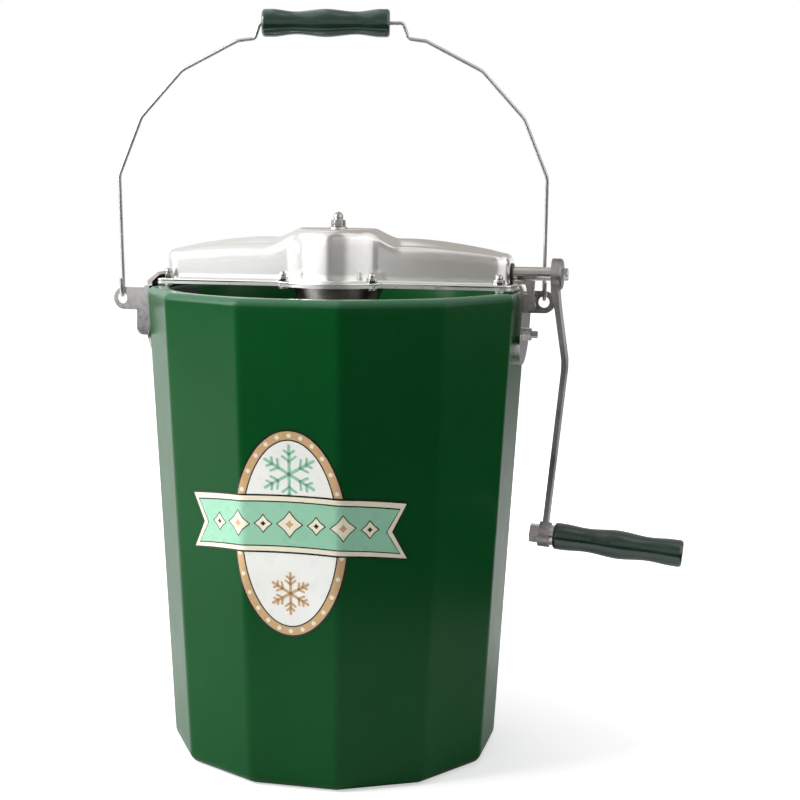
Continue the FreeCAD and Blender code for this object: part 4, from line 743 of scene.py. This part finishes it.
class FREEZER_OT_cover(bpy.types.Operator):
    """Makes the gear cover: rows from the flange in, up the walls, over a rounded edge, to the spine."""

    bl_idname = "freezer.cover"
    bl_label = "Gear cover"

    def execute(self, context):
        cover = context.scene.freezer_cover
        rim = context.scene.freezer_tub.height
        wall, flange, spine = cover_plan(cover)
        middle = np.stack([spine, np.zeros_like(spine)], axis=-1)
        wall, flange, middle = whole_plan(wall), whole_plan(flange), whole_plan(middle)
        heading = np.roll(wall, -1, axis=0) - np.roll(wall, 1, axis=0)
        heading /= np.linalg.norm(heading, axis=1)[:, None]
        inward = np.stack([-heading[:, 1], heading[:, 0]], axis=-1)
        low = cover.flange_low
        top = low + cover.flange_thick
        foot, edge = cover.foot, cover.edge
        rows = []

        def row(plan, height):
            rows.append(np.column_stack([plan, np.broadcast_to(height, (len(plan),))]))

        row(flange + (wall - flange) * 0.97, low)
        row(flange, low)
        row(flange, top - 0.0006)
        row(flange + (wall - flange) * 0.05, top)
        for angle in quarter_turn(6, 0):
            row(wall - inward * foot * (1 - math.sin(angle)), top + foot * (1 - math.cos(angle)))
        roof_edge = rim + cover_roof(cover, *(wall + inward * edge).T)
        for share in np.linspace(0.15, 1.0, 6):
            row(wall, top + foot + (roof_edge - edge - top - foot) * share)
        for angle in quarter_turn(14):
            plan = wall + inward * edge * (1 - math.cos(angle))
            row(plan, roof_edge - edge * (1 - math.sin(angle)))
        inner = wall + inward * edge
        for share in np.linspace(0, 1, 22)[1:]:
            plan = inner + (middle - inner) * share
            row(plan, rim + cover_roof(cover, *plan.T))
        faces = grid_faces(len(rows), len(wall))
        build("gear_cover_shell", rows, faces, [FINISHES["pressed_steel"]], "stand",
              ("gear_cover",), 0.00002)
        return {"FINISHED"}


# Turned grips.

# Where the bail's two hinges lie in the plan, left and right.
BAIL_HINGES = ((-0.181, -0.036), (0.171, 0.036))
GRIP_SHARES = np.array([0.0, 0.07, 0.26, 0.5, 0.74, 0.93, 1.0])


def grip_profile(size, end, waist, middle, bore, rounding=0.0026, steps=90):
    """A turned grip: full ends with rounded rims, two waists and a full middle, bored through."""
    radii = np.array([end, end, waist, middle, waist, end, end])
    along = np.linspace(0, size, steps)
    table = smooth_line(GRIP_SHARES * size, radii, along)
    profile = [(bore, 0.0)]
    for angle in quarter_turn(7, 0):
        profile.append((end - rounding * (1 - math.sin(angle)), rounding * (1 - math.cos(angle))))
    keep = (along > rounding * 1.2) & (along < size - rounding * 1.2)
    profile += list(zip(table[keep], along[keep]))
    for angle in quarter_turn(7, 0)[::-1]:
        profile.append((end - rounding * (1 - math.sin(angle)), size - rounding * (1 - math.cos(angle))))
    profile.append((bore, size))
    return profile


def smooth_line(stations, values, wanted):
    """A monotone cubic line through stations: each piece is a cubic with limited end slopes."""
    step = np.diff(stations)
    slope = np.diff(values) / step
    ends = np.zeros_like(values)
    same = slope[:-1] * slope[1:] > 0
    ends[1:-1][same] = 2 * slope[:-1][same] * slope[1:][same] / (slope[:-1][same] + slope[1:][same])
    place = np.clip(np.searchsorted(stations, wanted) - 1, 0, len(step) - 1)
    share = (wanted - stations[place]) / step[place]
    first = (1 + 2 * share) * (1 - share) ** 2 * values[place]
    second = share ** 2 * (3 - 2 * share) * values[place + 1]
    start = share * (1 - share) ** 2 * ends[place]
    stop = share ** 2 * (1 - share) * ends[place + 1]
    return first + second + step[place] * (start - stop)


def bail_matrix(bail):
    """Where the bail's hinge line lies, and its turn at rest."""
    (left, front), (right, back) = BAIL_HINGES
    yaw = math.atan2(back - front, right - left)
    centre = ((left + right) / 2, (front + back) / 2, bail.hinge)
    return Matrix.Translation(centre) @ Matrix.Rotation(yaw, 4, "Z") @ Matrix.Rotation(bail.lean, 4, "X")


class FREEZER_OT_grips(bpy.types.Operator):
    """Makes the two grips: a smooth profile of radii turned about the wire and about the bolt."""

    bl_idname = "freezer.grips"
    bl_label = "Grips"

    def execute(self, context):
        grips = context.scene.freezer_grips
        bail = context.scene.freezer_bail
        shape = lathe(grip_profile(grips.bail_length, grips.bail_end, grips.bail_waist, grips.bail_end,
                                   bail.wire + bail.clearance))
        start = Vector((grips.bail_shift - grips.bail_length / 2, bail.hook, bail.grip_height))
        place = bail_matrix(bail) @ Matrix.Translation(start) @ Matrix.Rotation(math.pi / 2, 4, "Y")
        self.grip("bail_grip_turned", moved(shape, place), "bail_handle", "bail_grip")
        shape = lathe(grip_profile(grips.crank_length, grips.crank_end, grips.crank_waist,
                                   grips.crank_middle, grips.crank_bore))
        fall = grips.crank_fall
        start = Vector((grips.crank_reach + grips.crank_seat * math.cos(fall), 0.0,
                        grips.crank_height - grips.crank_seat * math.sin(fall)))
        place = Matrix.Translation(start) @ Matrix.Rotation(math.pi / 2 + fall, 4, "Y")
        self.grip("crank_grip_turned", moved(shape, place), "crank_handle", "crank_grip")
        return {"FINISHED"}

    def grip(self, name, points, body, node):
        """Adds one turned grip in the place of its plain node."""
        faces = grid_faces(*points.shape[:2])
        build(name, points, faces, [FINISHES["grip_green"]], body, (node,))


# Domed nuts.

# Across flats, hexagon's thickness, ball's radius and whole height of the nuts, and their turn.
FLANGE_NUT = (0.0080, 0.0042, 0.0031, 0.0087)
POST_NUT = (0.0108, 0.0066, 0.0042, 0.0132)
NUT_TURN = math.radians(15)
# Where the flange's nuts stand, mirrored to both ends and both sides.
NUT_SPOTS = ((0.14248, 0.0265), (0.038, 0.035))


def domed_nut(flats, thick, ball, height, sides=72):
    """A domed nut up from Z = 0: a hexagon cut by a cone at its corners, a neck and a ball on top."""
    turn = np.linspace(0, 2 * np.pi, sides, endpoint=False)
    offset = np.abs((turn + math.pi / 6 + NUT_TURN) % (math.pi / 3) - math.pi / 6)
    hexagon = flats / 2 / np.cos(offset)
    cone = flats / 2 * 1.02
    rows = [(hexagon * 0.97, 0.0), (hexagon, thick * 0.04), (hexagon, thick * 0.5), (hexagon, thick * 0.80),
            (np.minimum(hexagon, cone + flats * 0.055), thick * 0.88),
            (np.minimum(hexagon, cone), thick * 0.97), (flats * 0.46, thick)]
    centre = height - ball
    foot = max(-0.55, (thick - centre) / ball)
    for angle in np.linspace(math.asin(foot), math.pi / 2 * 0.97, 14):
        rows.append((ball * math.cos(angle), centre + ball * math.sin(angle)))
    return np.array([turned(radii, turn, level) for radii, level in rows])


class FREEZER_OT_nuts(bpy.types.Operator):
    """Makes the domed nuts of the flange and the larger one on the post."""

    bl_idname = "freezer.nuts"
    bl_label = "Domed nuts"

    def execute(self, context):
        cover = context.scene.freezer_cover
        rim = context.scene.freezer_tub.height
        base = cover.flange_low + cover.flange_thick
        points, faces, start = [], [], 0
        for reach, across in NUT_SPOTS:
            for side_x in (-1, 1):
                for side_y in (-1, 1):
                    nut = domed_nut(*FLANGE_NUT) + (side_x * reach, side_y * across, base)
                    faces += closed_faces(nut, start)
                    points.append(nut.reshape(-1, 3))
                    start += len(points[-1])
        finishes = [FINISHES["cap_nut_steel"]]
        build("flange_nuts_domed", np.concatenate(points), faces, finishes, "stand",
              ("flange_cap_nuts",))
        nut = domed_nut(*POST_NUT) + (0.0, 0.0, rim + cover.tower_top + cover.nut_seat)
        build("post_nut_domed", nut, closed_faces(nut), finishes, "stand", ("post_cap_nut",))
        return {"FINISHED"}


# Finishes on the carried-over nodes.

class FREEZER_OT_finishes(bpy.types.Operator):
    """Gives every carried-over node the finish of its slot."""

    bl_idname = "freezer.finishes"
    bl_label = "Finishes"

    def execute(self, context):
        for label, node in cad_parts.items():
            for slot in node.material_slots:
                name = slot.material.name.split(".")[0] if slot.material else ""
                slot.material = FINISHES.get(label) or FINISHES[name]
        return {"FINISHED"}


# Stage.

# The camera's axes as fitted to the picture, its shift across and up, and its sensor's width.
CAMERA_AXES = ((0.968804, 0.247741, 0.006558), (-0.038301, 0.123528, 0.991602),
               (0.244851, -0.960919, 0.129163))
CAMERA_SHIFT = (0.075, -0.00597)
SENSOR = 36.0
# Lamps: the stage's name for the power, place, aim, width and height.
LAMPS = (("key", (-1.80, -0.95, 1.2), (0, 0, 0.25), 1.4, 1.5),
         ("fill", (1.90, 0.70, 0.9), (0, 0, 0.25), 1.2, 1.2),
         ("top", (-0.3, 0.1, 2.1), (0, 0, 0.2), 1.8, 1.8))
# Rings of the floor and its level, just under the object.
FLOOR_RADII = (0.0001, 0.4, 0.8, 1.6, 3.2, 6.0)
FLOOR_LEVEL = -0.0002
# The floor's glow: how strong it starts and ends, and the distances from the axis where it does.
GLOW_POWER = (0.52, 1.0)
GLOW_REACH = (0.25, 1.0)
# Cards: turn from and to in degrees, 0 towards the front, inner reach, lowest and highest point, tone.
# An upright card's inner reach is its outer one, and a flat card's two heights are the same.
CARD_REACH = 1.55
CARDS = (
    ("card_left", -62.0, -14.6, CARD_REACH, 0.310, 1.25, (1.75, 1.75, 1.75)),
    ("card_left_low", -62.0, -14.6, CARD_REACH, 0.13, 0.310, (0.10, 0.10, 0.105)),
    ("card_front", -13.6, -2.0, CARD_REACH, 0.295, 0.48, (0.36, 0.34, 0.32)),
    ("card_front_mid", -13.6, -2.0, CARD_REACH, 0.48, 1.25, (0.12, 0.105, 0.09)),
    ("card_front_high", -13.6, 30.0, CARD_REACH, 1.25, 2.6, (0.30, 0.27, 0.25)),
    ("card_stripe", -2.0, 32.0, CARD_REACH, 0.295, 1.25, (0.50, 0.49, 0.48)),
    ("card_side", 40.0, 98.0, CARD_REACH, 0.295, 1.25, (1.25, 1.25, 1.25)),
    ("card_front_low", -13.6, 60.0, CARD_REACH, 0.13, 0.295, (0.004, 0.004, 0.004)),
    ("card_foot", -50.0, 125.0, CARD_REACH, 0.0, 0.13, (0.004, 0.004, 0.004)),
    ("card_right", 102.0, 138.0, CARD_REACH, 0.13, 1.25, (0.20, 0.18, 0.17)),
    ("card_back", 140.0, 199.0, CARD_REACH, 0.62, 2.6, (0.50, 0.465, 0.44)),
    ("card_back_left", 199.5, 250.0, CARD_REACH, 0.62, 2.6, (0.90, 0.90, 0.89)),
    ("card_behind", -162.0, -108.0, CARD_REACH, 0.0, 0.50, (1.05, 1.05, 1.05)),
    ("card_floor", -50.0, 125.0, 0.52, 0.0005, 0.0005, (0.004, 0.004, 0.004)),
    ("card_floor_left", -162.0, -108.0, 0.52, 0.0005, 0.0005, (1.05, 1.05, 1.05)),
    ("card_ceiling_front", -13.6, 30.0, 0.05, 2.6, 2.6, (0.42, 0.39, 0.37)),
    ("card_ceiling", 95.0, 199.0, 0.05, 2.6, 2.6, (0.48, 0.45, 0.425)),
)


def lamp(name, spot, aim, width, height, power):
    """Adds a white rectangular lamp that looks at its aim."""
    data = bpy.data.lights.new(name, "AREA")
    data.shape = "RECTANGLE"
    data.size = width
    data.size_y = height
    data.energy = power
    item = bpy.data.objects.new(name, data)
    item.location = spot
    item.rotation_mode = "QUATERNION"
    item.rotation_quaternion = (Vector(aim) - Vector(spot)).to_track_quat("-Z", "Y")
    bpy.context.collection.objects.link(item)
    return item


def seen_factor(tree):
    """1 for rays from the camera, from gloss and through glass, else 0."""
    path = tree.nodes.new("ShaderNodeLightPath")
    total = path.outputs["Is Camera Ray"]
    for name in ("Is Glossy Ray", "Is Transmission Ray"):
        item = tree.nodes.new("ShaderNodeMath")
        item.operation = "MAXIMUM"
        tree.links.new(total, item.inputs[0])
        tree.links.new(path.outputs[name], item.inputs[1])
        total = item.outputs[0]
    return total


class FREEZER_OT_stage(bpy.types.Operator):
    """Makes the camera, the lamps, the pale surroundings, the floor and the reflection cards."""

    bl_idname = "freezer.stage"
    bl_label = "Stage"

    def execute(self, context):
        scene = context.scene
        stage = scene.freezer_stage
        scene.view_settings.view_transform = "Standard"
        camera = bpy.data.cameras.new("camera")
        camera.lens = stage.lens
        camera.sensor_width = SENSOR
        camera.shift_x, camera.shift_y = CAMERA_SHIFT
        camera.clip_end = 50.0
        eye = bpy.data.objects.new("camera", camera)
        eye.matrix_world = Matrix.Translation(stage.eye) @ Matrix(CAMERA_AXES).transposed().to_4x4()
        context.collection.objects.link(eye)
        scene.camera = eye
        for name, spot, aim, width, height in LAMPS:
            item = lamp(name, spot, aim, width, height, getattr(stage, name))
            item.visible_glossy = name != "top"
        self.surroundings(scene, stage)
        self.floor(context)
        self.cards(context)
        return {"FINISHED"}

    def surroundings(self, scene, stage):
        """A sky that looks white and lights the object softly."""
        world = bpy.data.worlds.new("surroundings")
        world.use_nodes = True
        scene.world = world
        tree = world.node_tree
        soft = tree.nodes["Background"]
        soft.inputs["Color"].default_value = (1.0, 1.0, 1.0, 1.0)
        soft.inputs["Strength"].default_value = stage.sky
        white = tree.nodes.new("ShaderNodeBackground")
        white.inputs["Color"].default_value = (1.0, 1.0, 1.0, 1.0)
        white.inputs["Strength"].default_value = 1.0
        mix = tree.nodes.new("ShaderNodeMixShader")
        tree.links.new(seen_factor(tree), mix.inputs["Fac"])
        tree.links.new(soft.outputs["Background"], mix.inputs[1])
        tree.links.new(white.outputs["Background"], mix.inputs[2])
        tree.links.new(mix.outputs["Shader"], tree.nodes["World Output"].inputs["Surface"])

    def floor(self, context):
        """A white floor that catches the contact shadow and glows further out, so that its edge is lost."""
        points = lathe([(radius, FLOOR_LEVEL) for radius in FLOOR_RADII])
        mesh = bpy.data.meshes.new("floor")
        mesh.from_pydata(points.reshape(-1, 3), [], grid_faces(*points.shape[:2]))
        finish = Finish("floor_white", specular=0.1)
        finish.tint(finish.mixed(finish.ranged(finish.noise(3.0), 0.0, 1.0), (0.86, 0.86, 0.86),
                                 (0.88, 0.88, 0.88)))
        finish.shader.inputs["Roughness"].default_value = 0.9
        glow = finish.node("ShaderNodeEmission")
        glow.inputs["Color"].default_value = (1.0, 1.0, 1.0, 1.0)
        away = finish.node("ShaderNodeVectorMath", operation="LENGTH")
        finish.link(finish.spot, away.inputs[0])
        power = finish.ranged(away.outputs["Value"], *GLOW_POWER, *GLOW_REACH)
        finish.link(power, glow.inputs["Strength"])
        clear = finish.node("ShaderNodeEmission")
        clear.inputs["Strength"].default_value = 0.0
        pick = finish.node("ShaderNodeMixShader")
        total = finish.node("ShaderNodeAddShader")
        finish.link(finish.node("ShaderNodeLightPath").outputs["Is Camera Ray"], pick.inputs["Fac"])
        finish.link(clear.outputs["Emission"], pick.inputs[1])
        finish.link(glow.outputs["Emission"], pick.inputs[2])
        finish.link(finish.shader.outputs["BSDF"], total.inputs[0])
        finish.link(pick.outputs["Shader"], total.inputs[1])
        finish.link(total.outputs["Shader"], finish.surface)
        mesh.materials.append(finish.material)
        floor = bpy.data.objects.new("floor", mesh)
        context.collection.objects.link(floor)

    def cards(self, context):
        """Curved cards that only gloss sees, as a studio uses to shape what metal mirrors."""
        for name, start, stop, inner, low, high, tone in CARDS:
            turn = np.radians(np.linspace(start, stop, 24)) - math.pi / 2
            reach = np.linspace(inner, CARD_REACH, 6)[:, None]
            points = turned(reach, turn, np.linspace(low, high, 6)[:, None])
            mesh = bpy.data.meshes.new(name)
            mesh.from_pydata(points.reshape(-1, 3), [], grid_faces(6, 24, False))
            finish = Finish(name)
            glow = finish.node("ShaderNodeEmission")
            glow.inputs["Color"].default_value = (*tone, 1.0)
            finish.link(glow.outputs["Emission"], finish.surface)
            mesh.materials.append(finish.material)
            card = bpy.data.objects.new(name, mesh)
            for ray in ("camera", "diffuse", "shadow", "transmission"):
                setattr(card, "visible_" + ray, False)
            context.collection.objects.link(card)


class FREEZER_PT_panel(bpy.types.Panel):
    """Sidebar panel with one button for each group of pieces."""

    bl_idname = "FREEZER_PT_panel"
    bl_label = "Hand Crank Freezer"
    bl_space_type = "VIEW_3D"
    bl_region_type = "UI"
    bl_category = "Freezer"

    def draw(self, context):
        for name in ("tub", "cover", "grips", "bail", "stage"):
            group = getattr(context.scene, "freezer_" + name)
            box = self.layout.box()
            for key in group.__annotations__:
                box.prop(group, key)
        for operator in OPERATORS:
            self.layout.operator(operator.bl_idname)


GROUPS = {"freezer_tub": FREEZER_PG_tub, "freezer_cover": FREEZER_PG_cover, "freezer_grips": FREEZER_PG_grips,
          "freezer_bail": FREEZER_PG_bail, "freezer_stage": FREEZER_PG_stage}
OPERATORS = (FREEZER_OT_tub, FREEZER_OT_label, FREEZER_OT_cover, FREEZER_OT_grips, FREEZER_OT_nuts,
             FREEZER_OT_finishes, FREEZER_OT_stage)


def register():
    for name, group in GROUPS.items():
        bpy.utils.register_class(group)
        setattr(bpy.types.Scene, name, PointerProperty(type=group))
    for item in OPERATORS + (FREEZER_PT_panel,):
        bpy.utils.register_class(item)


def unregister():
    for item in (FREEZER_PT_panel,) + OPERATORS[::-1]:
        bpy.utils.unregister_class(item)
    for name, group in GROUPS.items():
        delattr(bpy.types.Scene, name)
        bpy.utils.unregister_class(group)


def main():
    register()
    make_finishes(bpy.context.scene)
    for operator in OPERATORS:
        group, name = operator.bl_idname.split(".")
        getattr(getattr(bpy.ops, group), name)()


if __name__ == "__main__":
    main()
